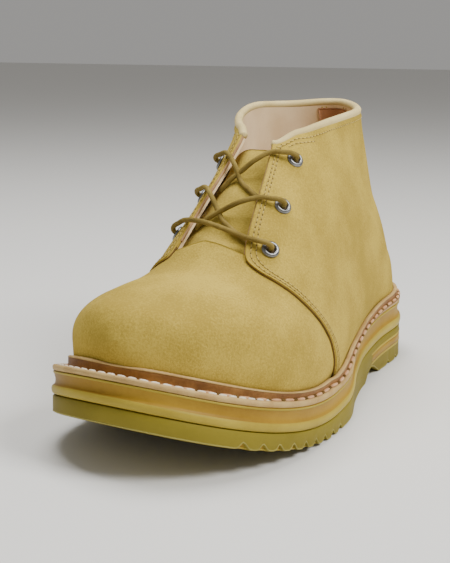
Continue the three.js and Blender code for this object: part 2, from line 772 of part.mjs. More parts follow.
function makeUpper() {
  const quarters = formSolid(QUARTER_LAP, 0)
    .intersect(quarterRegion())
    .subtract(ridgeSlot(QUARTER_GAP_START, 0.5));
  let wall = formSolid(0, 0).add(quarters);
  wall = wall.subtract(formSolid(-LINED_WALL, 20));
  wall = wall.subtract(ridgeSlot(THROAT_START, 0.55));
  wall = wall.subtract(aboveCollar(-BINDING_RADIUS - CLEARANCE));
  wall = wall.subtract(underDeck(CLEARANCE));
  for (const { point, normal } of eyeletSpots) {
    wall = wall.subtract(pegAt(point, normal, EYELET_BARREL + CLEARANCE, -8, 8));
    wall = wall.subtract(pegAt(point, normal, EYELET_OUTER + CLEARANCE, EYELET_SEAT - CLEARANCE, 8));
  }
  return wall;
}

// Round peg along the normal, between two distances from the surface
function pegAt(point, normal, radius, from, to) {
  const peg = new THREE.CylinderGeometry(radius, radius, to - from, 10);
  peg.rotateX(Math.PI / 2).translate(0, 0, (from + to) / 2);
  return manifoldOf(placeAlong(peg, point, normal));
}

function makeInsole() {
  const edge = () => -LINED_WALL - 1;
  return stackRings([
    soleRing(edge, (at) => deckOf(at) + CLEARANCE),
    soleRing(edge, (at) => deckOf(at) + CLEARANCE + INSOLE_THICK),
  ]).intersect(formSolid(-LINED_WALL - CLEARANCE, 20));
}

function makeTongue() {
  const first = THROAT_START - 0.8;
  const last = 11.8;
  const rows = 12;
  const columns = 6;
  const loops = [];
  for (let i = 0; i <= rows; i++) {
    const number = first + ((last - first) * i) / rows;
    const half = TONGUE_HALF * (i === rows ? 0.9 : 1);
    const rowOf = (thickness) =>
      Array.from({ length: columns + 1 }, (_, j) => {
        const x = half * (1 - (2 * j) / columns);
        const side = x < 0 ? -1 : 1;
        const share = Math.abs(x) / TONGUE_HALF;
        const start = THREE.MathUtils.smoothstep(number, first, first + 1.2);
        const depth = LINED_WALL + CLEARANCE + start * tongueSink(share) + thickness;
        return offSurface(number, side, Math.max(Math.abs(x), 0.01), -depth);
      });
    const outer = rowOf(0);
    const inner = rowOf(TONGUE_THICK).reverse();
    loops.push([...outer, ...inner]);
  }
  const triangles = [];
  for (let i = 0; i < rows; i++) {
    strip(triangles, loops[i], loops[i + 1], true);
  }
  for (const loop of [loops[0], loops[rows]]) {
    strip(triangles, loop.slice(0, columns + 1), [...loop.slice(columns + 1)].reverse(), false);
  }
  return solidOf(orient(triangles)).intersect(formSolid(-LINED_WALL - CLEARANCE, 20));
}

// Ring with a barrel through the wall
function makeEyelet({ point, normal }) {
  const seat = EYELET_SEAT;
  const profile = [
    [EYELET_BORE, 0.5 - LINED_WALL],
    [EYELET_BARREL, 0.5 - LINED_WALL],
    [EYELET_BARREL, seat],
    [EYELET_OUTER, seat],
    [EYELET_OUTER - 0.5, seat + EYELET_RISE * 0.8],
    [EYELET_BORE + 0.7, seat + EYELET_RISE],
    [EYELET_BORE, seat + EYELET_RISE * 0.4],
    [EYELET_BORE, 0.5 - LINED_WALL],
  ].map(([r, z]) => new THREE.Vector2(r, z));
  const ring = new THREE.LatheGeometry(profile, 10);
  ring.rotateX(Math.PI / 2);
  return manifoldOf(placeAlong(ring, point, normal));
}

// Round section as a shape
function disc(radius, sides) {
  const shape = new THREE.Shape();
  for (let i = 0; i < sides; i++) {
    const angle = (i / sides) * Math.PI * 2;
    shape[i ? "lineTo" : "moveTo"](radius * Math.cos(angle), radius * Math.sin(angle));
  }
  shape.closePath();
  return shape;
}

const tubeAlong = (points, radius, sides, steps) =>
  manifoldOf(
    new THREE.ExtrudeGeometry(disc(radius, sides), {
      steps,
      bevelEnabled: false,
      extrudePath: new THREE.CatmullRomCurve3(points, false, "centripetal"),
    }),
  );

const COLLAR_STEPS = 9;

// Middle of the quarter wall along the collar line, from the lateral corner round the heel
function collarPath() {
  const inset = (QUARTER_LAP - LINED_WALL) / 2;
  const lowest = THROAT_START + 1;
  const excess = (p) => p.z - collarAt(shareAt(p.y), p.x);
  const crossing = (pointOf) => {
    let low = lowest;
    let high = LAST_SECTION;
    for (let i = 0; i < 30; i++) {
      const middle = (low + high) / 2;
      if (excess(pointOf(middle)) > 0) {
        high = middle;
      } else {
        low = middle;
      }
    }
    return low;
  };
  const half = (side) => {
    const corner = crossing((number) => surfacePoint(number, side, throatHalf(number, side)));
    const start = throatHalf(corner, side);
    const points = [offSurface(corner, side, start, inset)];
    for (let j = COLLAR_STEPS * 4 - 1; j > 0; j--) {
      const pointOf = (number) => sidePoints(sectionAt(number), side, COLLAR_STEPS, COLLAR_STEPS * 3)[j];
      const number = crossing(pointOf);
      const point = pointOf(number);
      const middle = onSection(sectionAt(number), side, 0.5, 0);
      const inward = new THREE.Vector3(middle.x - point.x, middle.y - point.y, 0).normalize();
      point.addScaledVector(inward, -inset);
      const apart = point.distanceTo(points[points.length - 1]) > 5;
      if (apart && (points.length > 1 || side * point.x > start)) {
        points.push(point);
      }
    }
    return points;
  };
  const path = [...half(1), ...half(-1).reverse()];
  for (const point of path) {
    point.z = collarAt(shareAt(point.y), point.x);
  }
  return path;
}

// Lace
const tongueSink = (share) => TONGUE_SINK * (1 - share * share);
const LACE_RADIUS = LACE_DIAMETER / 2;
const ON_QUARTER = QUARTER_LAP + LACE_RADIUS + 0.8;
const OVER_RING = EYELET_SEAT + EYELET_RISE + LACE_RADIUS + 0.4;

// Stops from the throat's edge over the ring and down the bore, as distance and rise
const intoEyelet = (edge) => [
  [edge + 1, ON_QUARTER],
  [edge + EYELET_INSET - 5.2, OVER_RING - 0.1],
  [edge + EYELET_INSET - 2.4, OVER_RING + 1],
  [edge + EYELET_INSET - 0.3, OVER_RING + 0.1],
  [edge + EYELET_INSET, OVER_RING - 2.6],
  [edge + EYELET_INSET, OVER_RING - 5],
];

function laceBar() {
  const half = (side) => {
    const number = eyeletSection(0, side);
    return intoEyelet(throatHalf(number, side)).map(([out, rise]) => offSurface(number, side, out, rise));
  };
  const between = (eyeletSection(0, 1) + eyeletSection(0, -1)) / 2;
  const middle = offSurface(between, 1, 0.01, ON_QUARTER - 1);
  return tubeAlong([...half(1).reverse(), middle, ...half(-1)], LACE_RADIUS, 6, 28);
}

// Run that comes out under one throat edge and crosses up to the next eyelet of the other side
function laceRun(low, side, lift) {
  const from = eyeletSection(low, -side);
  const to = eyeletSection(low + 1, side);
  const edgeFrom = throatHalf(from, -side);
  const edgeTo = throatHalf(to, side);
  const onTongue = (out) => LACE_RADIUS + 0.4 - LINED_WALL - CLEARANCE - tongueSink(out / TONGUE_HALF);
  const at = (share) => THREE.MathUtils.lerp(from, to, share);
  const near = [
    [0.08, edgeFrom - 1.1],
    [0.24, edgeFrom * 0.5],
  ].map(([share, out]) => offSurface(at(share), -side, out, onTongue(out) + lift * share * 2));
  const middle = offSurface(at(0.45), side, 0.01, onTongue(0) + lift);
  const rise = (onTongue(0) + lift + ON_QUARTER) / 2 + 1.2;
  const far = offSurface(at(0.68), side, edgeTo * 0.55, rise);
  const stops = intoEyelet(edgeTo);
  const last = stops.map(([out, up], i) =>
    offSurface(at(Math.min(0.9 + i * 0.035, 1)), side, out, up),
  );
  return tubeAlong([...near, middle, far, ...last], LACE_RADIUS, 6, 22);
}

const laceCross = (low) => laceRun(low, -1, 0).add(laceRun(low, 1, LACE_DIAMETER - 0.5));

const finish = (color, roughness, metalness = 0) =>
  new THREE.MeshStandardMaterial({ color, roughness, metalness });

const boot = new THREE.Group();

function place(name, solid, material) {
  const mesh = new THREE.Mesh(geometryOf(solid), material);
  mesh.name = name;
  boot.add(mesh);
}

place("outsole", makeOutsole(), finish(OUTSOLE_OLIVE, 0.7));
place("midsole", makeMidsole(), finish(MIDSOLE_HONEY, 0.6));
place("welt", makeWelt(), finish(WELT_TAN, 0.6));
place("upper", makeUpper(), finish(SUEDE, 0.95));
place("insole", makeInsole(), finish(INSOLE_TAN, 0.8));
place("tongue", makeTongue(), finish(SUEDE, 0.95));
place("collar_binding", tubeAlong(collarPath(), BINDING_RADIUS, 8, 48), finish(BINDING_CREAM, 0.7));
place("lace_bar", laceBar(), finish(LACE_KHAKI, 0.9));
place("lace_cross_lower", laceCross(0), finish(LACE_KHAKI, 0.9));
place("lace_cross_upper", laceCross(1), finish(LACE_KHAKI, 0.9));
for (const spot of eyeletSpots) {
  place(spot.name, makeEyelet(spot), finish(EYELET_GREY, 0.35, 0.8));
}

// Origin under the middle of the whole boot
const middle = new THREE.Box3().setFromObject(boot).getCenter(new THREE.Vector3());
for (const mesh of boot.children) {
  mesh.geometry.translate(-middle.x, -middle.y, 0);
}

export default boot;
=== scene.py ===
import math

import bpy
import numpy as np
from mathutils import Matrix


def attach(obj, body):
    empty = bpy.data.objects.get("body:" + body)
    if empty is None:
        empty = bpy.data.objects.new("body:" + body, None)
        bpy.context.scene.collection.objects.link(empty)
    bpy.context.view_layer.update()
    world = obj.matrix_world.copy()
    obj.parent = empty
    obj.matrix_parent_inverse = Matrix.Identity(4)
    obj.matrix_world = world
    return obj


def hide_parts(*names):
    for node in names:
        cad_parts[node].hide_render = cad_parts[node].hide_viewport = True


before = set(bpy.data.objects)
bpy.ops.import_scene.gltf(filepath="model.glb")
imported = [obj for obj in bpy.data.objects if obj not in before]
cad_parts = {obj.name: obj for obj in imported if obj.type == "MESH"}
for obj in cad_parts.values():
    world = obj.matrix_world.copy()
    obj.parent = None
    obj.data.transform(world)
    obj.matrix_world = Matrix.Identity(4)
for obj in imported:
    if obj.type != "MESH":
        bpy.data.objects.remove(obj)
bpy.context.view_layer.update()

# Sizes in millimetres
lastLength = 284
ballWidth = 104
instepHeight = 82
shaftHeight = 150
collarMedialRise = 4
collarMedialDip = 2.6
collarReach = 45
wall = 2.4
lap = 1.6
heelRound, heelPower = 0.13, 2.1
toeRound, toePower = 0.29, 2.35
outsoleFront = 9
midsoleFront = 12
midsoleHeel = 15
heelLift = 14.5
toeSpring = 22
springStart, springPower = 0.64, 1.75
marginFront, marginHeel, marginToe = 8.5, 6, 10.7
lipHeight, lipToeRise = 4.6, 2
lipThick = 2.4
flangeTop = 3.3
middle = (-1.371, -2.351)  # where the shape's own origin lies in the shared frame, x and y negated
ballPlane = outsoleFront + midsoleFront
heelSeat = ballPlane + heelLift
halfBall = ballWidth / 2


# Monotone cubic through the points: slopes at the keys are harmonic means of the chords.
def curve(keys, values):
    keys, values = np.asarray(keys, float), np.asarray(values, float)
    chord = np.diff(values) / np.diff(keys)
    product = chord[:-1] * chord[1:]
    total = chord[:-1] + chord[1:]
    inner = np.where(product > 0, 2 * product / np.where(total == 0, 1, total), 0)
    slope = np.concatenate([chord[:1], inner, chord[-1:]])

    def at(key):
        key = np.clip(np.asarray(key, float), keys[0], keys[-1])
        i = np.clip(np.searchsorted(keys, key, side="right") - 1, 0, len(keys) - 2)
        span = keys[i + 1] - keys[i]
        t = (key - keys[i]) / span
        rise = t * t * (3 - 2 * t)
        return (values[i] + rise * (values[i + 1] - values[i])
                + t * (1 - t) ** 2 * span * slope[i] + t * t * (t - 1) * span * slope[i + 1])
    return at


# Rise from 0 at low to 1 at high, flat at both ends
def smooth(x, low, high):
    t = np.clip((x - low) / (high - low), 0, 1)
    return t * t * (3 - 2 * t)


# Share of the length from the heel, then half widths as shares of half the ball width
outline = np.array([
    (0.0, 0.68, 0.66), (0.1, 0.63, 0.6), (0.2, 0.63, 0.6), (0.32, 0.67, 0.61), (0.45, 0.775, 0.655),
    (0.58, 0.93, 0.79), (0.68, 0.955, 0.95), (0.76, 0.95, 1.03), (0.85, 0.925, 1.08),
    (0.93, 0.87, 1.12), (1.0, 0.8, 1.09)])
# bottomAt, bottomUp, topAt, topUp, lateral, medial, widest, powerBelow, powerLateral, powerMedial
footSections = np.array([
    (1.0, 0, 1.014, 0.238, 0.84, 1.0, 0.42, 2.2, 2.2, 2.2),
    (0.99, 0, 1.0, 0.366, 0.86, 1.02, 0.42, 2.2, 2.2, 2.2),
    (0.968, 0, 0.979, 0.458, 0.9, 1.04, 0.41, 2.2, 2.25, 2.2),
    (0.93, 0, 0.944, 0.53, 0.95, 1.07, 0.39, 2.2, 2.3, 2.15),
    (0.88, 0, 0.905, 0.603, 1.0, 1.08, 0.37, 2.2, 2.3, 2.1),
    (0.82, 0, 0.863, 0.669, 1.05, 1.075, 0.345, 2.2, 2.3, 2.0),
    (0.755, 0, 0.824, 0.723, 1.09, 1.04, 0.32, 2.2, 2.3, 1.95),
    (0.69, 0, 0.789, 0.798, 1.1, 0.985, 0.3, 2.2, 2.3, 1.9),
    (0.61, 0, 0.768, 0.875, 1.07, 0.91, 0.28, 2.2, 2.4, 1.9),
    (0.53, 0, 0.743, 0.982, 1.01, 0.86, 0.27, 2.2, 2.6, 1.95)])
shaftSections = np.array([
    (0.41, 0, 0.694, 0.647, 0.91, 0.77, 0.28, 2.2, 2.8, 2.0),
    (0.27, 0, 0.627, 0.753, 0.81, 0.71, 0.31, 2.2, 3, 2.1),
    (0.13, 0, 0.57, 0.853, 0.73, 0.68, 0.35, 2.2, 3, 2.2),
    (0.0, 0, 0.546, 0.907, 0.675, 0.66, 0.4, 2.2, 3, 2.3),
    (0.012, 0.147, 0.532, 0.96, 0.6, 0.66, 0.42, 2.1, 3, 2.4),
    (0.054, 0.3, 0.525, 1.027, 0.535, 0.65, 0.45, 2.0, 3, 2.4),
    (0.093, 0.5, 0.521, 1.093, 0.505, 0.64, 0.47, 1.95, 3, 2.4),
    (0.127, 0.7, 0.518, 1.16, 0.49, 0.63, 0.49, 1.9, 3, 2.4),
    (0.158, 0.867, 0.514, 1.227, 0.49, 0.63, 0.5, 1.9, 3, 2.4),
    (0.178, 1.1, 0.51, 1.3, 0.5, 0.635, 0.5, 1.9, 3, 2.4)])
# Front edge of the quarters from the side: share of the length from the heel, share of the instep
quarterSeam = np.array([
    (0.62, 0.0), (0.628, 0.2), (0.645, 0.34), (0.682, 0.48), (0.7245, 0.622), (0.755, 0.746),
    (0.768, 0.809), (0.7675, 0.86)])
# Section, then half the gap between the quarters on either side, as shares of half the ball width
throatEdge = np.array([
    (7.4, 0.5, 0.41), (7.9, 0.45, 0.37), (8.4, 0.42, 0.346), (9, 0.4, 0.327), (10, 0.352, 0.288),
    (11, 0.288, 0.212), (12, 0.222, 0.154), (13, 0.202, 0.154)])
# Section numbers of the lateral and the medial eyelets, from the lowest pair up
eyeletSections = {1: (8.9, 10.23, 11.5), -1: (9.5, 10.6, 11.5)}
eyeletInset = 10.5
heelRow = 13
lastRow = 19
below = 0.3  # share of a section's own parameter that lies below its widest place

lateralShare = curve(outline[:, 0], outline[:, 1])
medialShare = curve(outline[:, 0], outline[:, 2])
liftShare = curve([0, 0.15, 0.3, 0.45, 0.6, 0.7], [1, 0.97, 0.8, 0.42, 0.08, 0])
middleShare = curve([0, 0.3, 0.6, 0.8, 1], [0, 0.01, 0.02, 0, -0.115])
gapLateral = curve(throatEdge[:, 0], throatEdge[:, 1])
gapMedial = curve(throatEdge[:, 0], throatEdge[:, 2])
collarShare = curve([0.13, 0.2, 0.3, 0.44, 0.53, 0.575], [0.94, 0.913, 0.897, 0.882, 0.855, 0.812])


def throatGap(n, side):
    return halfBall * (gapLateral(n) if side > 0 else gapMedial(n))


# Quarter of a superellipse: 0 at the tip, 1 where the rounding ends
def roundEnd(t, power):
    return (1 - (1 - np.clip(t, 0, 1)) ** power) ** (1 / power)


def lengthwise(at):
    return lastLength * (0.5 - np.asarray(at, float))


def shareAt(y):
    return 0.5 - y / lastLength


# Toe spring: the toe's height times a power of the share of the way from its start to the tip
def springOf(at):
    return toeSpring * np.clip((at - springStart) / (1 - springStart), 0, 1.12) ** springPower


def deckOf(at):
    return ballPlane + heelLift * liftShare(at) + springOf(at)


def midsoleOf(at):
    return midsoleFront + (midsoleHeel - midsoleFront) * liftShare(at)


def seamOf(at):
    return deckOf(at) - midsoleOf(at)


marginOf = curve([0, 0.35, 0.55, 0.8, 0.95, 1],
                 [marginHeel, marginHeel, marginFront, marginFront, marginToe, marginToe])


# Half width of the sole's seat: the outline's share, rounded off at heel and toe
def halfWidth(at, side):
    share = lateralShare(at) if side > 0 else medialShare(at)
    return halfBall * share * roundEnd(at / heelRound, heelPower) * roundEnd((1 - at) / toeRound, toePower)


# Height of the collar line: its share of the shaft, higher or lower with the way to the medial side
def collarAt(y, x):
    at = shareAt(y)
    dip = collarMedialDip * smooth(at, 0.3, 0.47) * (1 - 0.8 * smooth(at, 0.5, 0.575))
    rise = (1 - x / collarReach) * (collarMedialRise * smooth(at, 0.05, 0.45) - dip)
    return ballPlane + shaftHeight * collarShare(at) + rise


def unit(vectors):
    return vectors / np.maximum(np.linalg.norm(vectors, axis=-1, keepdims=True), 1e-9)


# Last value at which over is still false, by halving the stretch between low and high
def bisect(low, high, over, times=40):
    for _ in range(times):
        mid = (low + high) / 2
        above = over(mid)
        low, high = np.where(above, low, mid), np.where(above, mid, high)
    return low


# What make gives for the lateral side where sides is positive, and for the medial side elsewhere
def bothSides(make, n, t, sides):
    return np.where((np.asarray(sides) > 0)[..., None], make(n, t, 1), make(n, t, -1))


rows = np.vstack([footSections, shaftSections])
numbers = np.arange(len(rows))
bottomZ = np.where(numbers <= heelRow, deckOf(np.clip(rows[:, 0], 0, 1)), 0)
bottomZ = np.where(numbers > heelRow, heelSeat + shaftHeight * rows[:, 1], bottomZ)
topZ = np.where(numbers < len(footSections),
                ballPlane + springOf(rows[:, 2]) + instepHeight * rows[:, 3],
                ballPlane + shaftHeight * rows[:, 3])
rowCurves = [curve(numbers, rows[:, i]) for i in range(10)]
bottomCurve, topCurve = curve(numbers, bottomZ), curve(numbers, topZ)


# Point of the upper's form. A section stands from its bottom point to its ridge point, and bulges
# sideways as one superellipse below its widest place and another above it.
def surface(n, t, side):
    n, t = np.broadcast_arrays(np.asarray(n, float), np.asarray(t, float))
    c = [f(n) for f in rowCurves]
    at = np.clip(c[0], 0, 1)
    zLow = np.where(n <= heelRow, deckOf(at), bottomCurve(n))
    zTop = topCurve(n)
    foot = np.where(n <= heelRow, halfWidth(at, side), 0)
    wide = halfBall * (c[4] if side > 0 else c[5]) * roundEnd((1 - c[0]) / toeRound, toePower)
    wide = np.maximum(wide, foot * 1.0001)
    power = c[8] if side > 0 else c[9]
    open_ = np.where(wide > 0, (foot / np.maximum(wide, 1e-9)) ** c[7], 0)
    qLow = np.cos(np.clip(t / below, 0, 1) * np.pi / 2)
    qHigh = np.sin(np.clip((t - below) / (1 - below), 0, 1) * np.pi / 2)
    xLow = wide * (1 - (1 - open_) * qLow ** c[7]) ** (1 / c[7])
    xHigh = wide * np.maximum(1 - qHigh ** power, 0) ** (1 / power)
    isLow = t < below
    x = np.where(isLow, xLow, xHigh)
    height = np.where(isLow, c[6] * (1 - qLow), c[6] + (1 - c[6]) * qHigh)
    y = lengthwise(c[0]) * (1 - height) + lengthwise(c[2]) * height
    z = zLow * (1 - height) + zTop * height
    centre = halfBall * (middleShare(at) * (1 - height) + middleShare(np.clip(c[2], 0, 1)) * height)
    return np.stack([centre + side * x, y, z], -1)


# Outward unit normal of the form, from small steps along the sections and across them.
def surfaceNormal(n, t, side):
    d = 0.01
    n, t = np.broadcast_arrays(np.asarray(n, float), np.asarray(t, float))
    along = surface(np.clip(n + d, 0, lastRow), t, side) - surface(np.clip(n - d, 0, lastRow), t, side)
    t1, t0 = np.clip(t + d, 0, 1), np.clip(t - d, 0, 1)
    across = surface(n, t1, side) - surface(n, t0, side)
    normal = np.cross(along, across) * side
    flat = np.abs(surface(n, t, side)[..., 0:1] - halfBall * middleShare(0.3)) < 0.05
    normal[..., 0:1] = np.where(flat, 0, normal[..., 0:1])
    return unit(normal)


# Section parameter above the widest place where the surface is out from the ridge plane.
def edgeParameter(n, side, out):
    c0, share = rowCurves[0](n), rowCurves[4 if side > 0 else 5](n)
    power = rowCurves[8 if side > 0 else 9](n)
    wide = halfBall * share * roundEnd((1 - c0) / toeRound, toePower)
    q = (1 - np.clip(out / wide, 0, 1) ** power) ** (1 / power)
    return below + (1 - below) * np.arcsin(np.clip(q, 0, 1)) * 2 / np.pi


# Section number and parameter whose surface point has the given y and z, by steps
# along its slopes there, each shortened to 0.6.
def solveSide(points, side, start):
    q = np.array(start, float)
    for _ in range(40):
        d = 1e-3
        base = surface(q[:, 0], q[:, 1], side)[:, 1:]
        jn = (surface(q[:, 0] + d, q[:, 1], side)[:, 1:] - base) / d
        jt = (surface(q[:, 0], q[:, 1] + d, side)[:, 1:] - base) / d
        det = jn[:, 0] * jt[:, 1] - jn[:, 1] * jt[:, 0]
        det = np.where(np.abs(det) < 1e-6, 1e-6, det)
        r = points - base
        dn = (r[:, 0] * jt[:, 1] - r[:, 1] * jt[:, 0]) / det
        dt = (jn[:, 0] * r[:, 1] - jn[:, 1] * r[:, 0]) / det
        q[:, 0] = np.clip(q[:, 0] + np.clip(0.6 * dn, -0.4, 0.4), 5, 12)
        q[:, 1] = np.clip(q[:, 1] + np.clip(0.6 * dt, -0.08, 0.08), 0, 0.97)
    return q


# Points of a polyline at wanted lengths along it.
def pickAlong(path, length, wanted):
    return np.stack([np.interp(wanted, length, path[:, k]) for k in range(path.shape[1])], 1)


# Length along a polyline up to each of its points.
def arcLength(path):
    return np.concatenate([[0], np.cumsum(np.linalg.norm(np.diff(path, axis=0), axis=1))])


# Points at even steps of arc length along a polyline.
def resample(path, count):
    length = arcLength(path)
    return pickAlong(path, length, np.linspace(0, 1, count) * length[-1])


# Meshes: metres in the shared frame from millimetres of the boot's own origin.
def toFrame(points):
    return (np.asarray(points, float).reshape(-1, 3) - np.array([*middle, 0])) / 1000


def link(name, data):
    made = bpy.data.objects.new(name, data)
    bpy.context.scene.collection.objects.link(made)
    return made


# Mesh of quads from whole arrays, shaded smooth, with its own UV where one is given.
def makeMesh(name, points, faces, uvs=None):
    shifted = toFrame(points)
    mesh = bpy.data.meshes.new(name)
    mesh.vertices.add(len(shifted))
    mesh.vertices.foreach_set("co", shifted.astype(np.float32).ravel())
    faces = np.asarray(faces, np.int32)
    mesh.loops.add(faces.size)
    mesh.loops.foreach_set("vertex_index", faces.ravel())
    mesh.polygons.add(len(faces))
    mesh.polygons.foreach_set("loop_start", np.arange(len(faces), dtype=np.int32) * faces.shape[1])
    mesh.polygons.foreach_set("loop_total", np.full(len(faces), faces.shape[1], np.int32))
    mesh.polygons.foreach_set("use_smooth", np.ones(len(faces), bool))
    if uvs is not None:
        layer = mesh.uv_layers.new(name="own")
        layer.data.foreach_set("uv", np.asarray(uvs, np.float32)[faces.ravel()].ravel())
    mesh.update(calc_edges=True)
    mesh.validate()
    return link(name, mesh)


# Mesh of quads in which a repeated corner becomes a triangle.
def makeClean(name, points, faces):
    repeats = (faces == np.roll(faces, -1, 1)).any(1)
    whole = faces[~repeats]
    kept = [list(dict.fromkeys(face)) for face in faces[repeats].tolist()]
    triangles = [face for face in kept if len(face) == 3]
    mesh = bpy.data.meshes.new(name)
    corners = np.concatenate([whole.ravel(), np.array(triangles, int).ravel()])
    used, flat = np.unique(corners, return_inverse=True)
    shifted = toFrame(np.asarray(points)[used])
    whole, triangles = flat[:whole.size].reshape(-1, 4), flat[whole.size:].reshape(-1, 3)
    mesh.from_pydata(shifted.tolist(), [], whole.tolist() + triangles.tolist())
    mesh.polygons.foreach_set("use_smooth", np.ones(len(mesh.polygons), bool))
    mesh.update()
    return link(name, mesh)


# Quads of a grid of points kept row by row.
def gridFaces(rowsCount, columns, first=0):
    i = np.arange(rowsCount - 1)[:, None]
    a = first + i * columns + np.arange(columns - 1)[None, :]
    return np.stack([a, a + columns, a + columns + 1, a + 1], -1).reshape(-1, 4)


# Quads between rings that each close on themselves.
def tubeFaces(rings, sides):
    i = np.arange(rings - 1)[:, None]
    j = np.arange(sides)[None, :]
    k = (j + 1) % sides
    quads = [i * sides + j, i * sides + k, (i + 1) * sides + k, (i + 1) * sides + j]
    return np.stack(quads, -1).reshape(-1, 4)


# Closed sheet: the grid pushed outer along its normals, the same grid pushed inner, and a rim of four
# rings between them that bulges outwards by bevel. A folded sheet has its first row doubled on
# itself, and the two halves of that row are joined.
def thickSheet(name, grid, normals, outer, inner, bevel=0.5, flip=False, folded=False):
    r, c = grid.shape[:2]
    outside = grid + normals * outer
    inside = grid + normals * inner
    ij = [] if folded else [(0, j) for j in range(c)]
    ij += [(i, c - 1) for i in range(0 if folded else 1, r)]
    ij += [(r - 1, j) for j in range(c - 2, -1, -1)] + [(i, 0) for i in range(r - 2, 0, -1)]
    ij = np.array(ij)
    count = len(ij)
    rimOut, rimIn = outside[ij[:, 0], ij[:, 1]], inside[ij[:, 0], ij[:, 1]]
    inI = np.clip(ij[:, 0], 1, r - 2)
    inJ = np.clip(ij[:, 1], 1, c - 2)
    away = unit(grid[ij[:, 0], ij[:, 1]] - grid[inI, inJ])
    rims = [rimOut * (1 - s) + rimIn * s + away * bevel * math.sin(math.pi * s) ** 0.6
            for s in (0.12, 0.35, 0.65, 0.88)]
    points = np.concatenate([outside.reshape(-1, 3), inside.reshape(-1, 3)] + rims)
    faces = [gridFaces(r, c), gridFaces(r, c, r * c)[:, ::-1]]
    ring = [ij[:, 0] * c + ij[:, 1]]
    ring += [2 * r * c + k * count + np.arange(count) for k in range(4)]
    ring.append(ring[0] + r * c)
    for a, b in zip(ring[:-1], ring[1:]):
        faces.append(np.stack([a, b, np.roll(b, -1), np.roll(a, -1)], -1))
    faces = np.concatenate(faces)
    if flip:
        faces = faces[:, ::-1]
    if folded:
        index = np.arange(len(points))
        for base in (0, r * c):
            index[base + (c + 1) // 2:base + c] = base + np.arange(c - (c + 1) // 2)[::-1]
        return makeClean(name, points, index[faces])
    return makeMesh(name, points, faces)


# Round strip along a path: rings square to the path, with ends closed by a small dome.
def tube(name, path, radius, sides):
    path = np.asarray(path, float)
    tangent = unit(np.gradient(path, axis=0))
    up = np.zeros_like(path)
    last = np.array([0, 0, 1.0])
    for i in range(len(path)):  # turns the first direction along the path without twist
        last = up[i] = unit(last - tangent[i] * last.dot(tangent[i]))
    side = np.cross(tangent, up)
    domes = np.array([0.0, 0.5, 0.85])  # shares of the radius at which a dome's rings lie
    out = (radius * (1 - domes) * 0.6)[:, None]
    scale = np.concatenate([np.sqrt(1 - (1 - domes) ** 2 * 0.999), np.ones(len(path)),
                            np.sqrt(1 - (1 - domes[::-1]) ** 2 * 0.999)]) * radius
    path = np.vstack([path[0] - tangent[0] * out, path, path[-1] + tangent[-1] * out[::-1]])
    up, side = (np.pad(way, ((3, 3), (0, 0)), "edge") for way in (up, side))
    angle = np.arange(sides) / sides * 2 * np.pi
    ring = (side[:, None, :] * np.cos(angle)[None, :, None]
            + up[:, None, :] * np.sin(angle)[None, :, None])
    points = path[:, None, :] + ring * scale[:, None, None]
    run = arcLength(path)
    uvs = np.stack(np.broadcast_arrays(run[:, None], (angle / (2 * np.pi))[None, :]), -1).reshape(-1, 2)
    return makeMesh(name, points, tubeFaces(len(path), sides), uvs)


# Sets a piece on the body with its material, and hides the nodes that it stands for.
def put(piece, slotName, paintName, *nodes):
    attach(piece, "root")
    if nodes:
        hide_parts(*nodes)
    piece.data.materials.append(paint[paintName])


# Shader group and materials: a sum, difference or product of two values, held to 0 to 1 where asked
def maths(tree, operation, a, b, clamp=False):
    node = tree.nodes.new("ShaderNodeMath")
    node.operation = operation
    node.use_clamp = clamp
    for i, value in enumerate((a, b)):
        if isinstance(value, (int, float)):
            node.inputs[i].default_value = value
        else:
            tree.links.new(value, node.inputs[i])
    return node.outputs[0]


# Mottled leather or rubber: broad patches, fine grain and a grain height.
def surfaceGroup():
    group = bpy.data.node_groups.new("mottle", "ShaderNodeTree")
    for way, kind, labels in (("INPUT", "Color", ("Light", "Dark")),
                              ("INPUT", "Float", ("Patch scale", "Grain scale", "Grain amount")),
                              ("OUTPUT", "Color", ("Color",)), ("OUTPUT", "Float", ("Grain",))):
        for label in labels:
            group.interface.new_socket(name=label, in_out=way, socket_type="NodeSocket" + kind)
    given, out = group.nodes.new("NodeGroupInput"), group.nodes.new("NodeGroupOutput")
    coordinate = group.nodes.new("ShaderNodeTexCoord").outputs["Object"]
    patch = group.nodes.new("ShaderNodeTexNoise")
    grain = group.nodes.new("ShaderNodeTexNoise")
    patch.inputs["Detail"].default_value = 4
    grain.inputs["Detail"].default_value = 4
    grain.inputs["Roughness"].default_value = 0.7
    for node, label in ((patch, "Patch scale"), (grain, "Grain scale")):
        group.links.new(coordinate, node.inputs["Vector"])
        group.links.new(given.outputs[label], node.inputs["Scale"])
    broad = group.nodes.new("ShaderNodeMapRange")
    group.links.new(patch.outputs["Fac"], broad.inputs["Value"])
    for label, value in (("From Min", 0.32), ("From Max", 0.68)):
        broad.inputs[label].default_value = value
    fine = maths(group, "MULTIPLY", maths(group, "SUBTRACT", grain.outputs["Fac"], 0.5),
                 given.outputs["Grain amount"])
    fine = maths(group, "MULTIPLY", fine, 3.0)
    amount = maths(group, "ADD", broad.outputs["Result"], fine, clamp=True)
    mixed = group.nodes.new("ShaderNodeMix")
    mixed.data_type = "RGBA"
    for i, socket in ((0, amount), (6, given.outputs["Dark"]), (7, given.outputs["Light"])):
        group.links.new(socket, mixed.inputs[i])
    group.links.new(mixed.outputs[2], out.inputs["Color"])
    group.links.new(grain.outputs["Fac"], out.inputs["Grain"])
    return group


mottle = surfaceGroup()


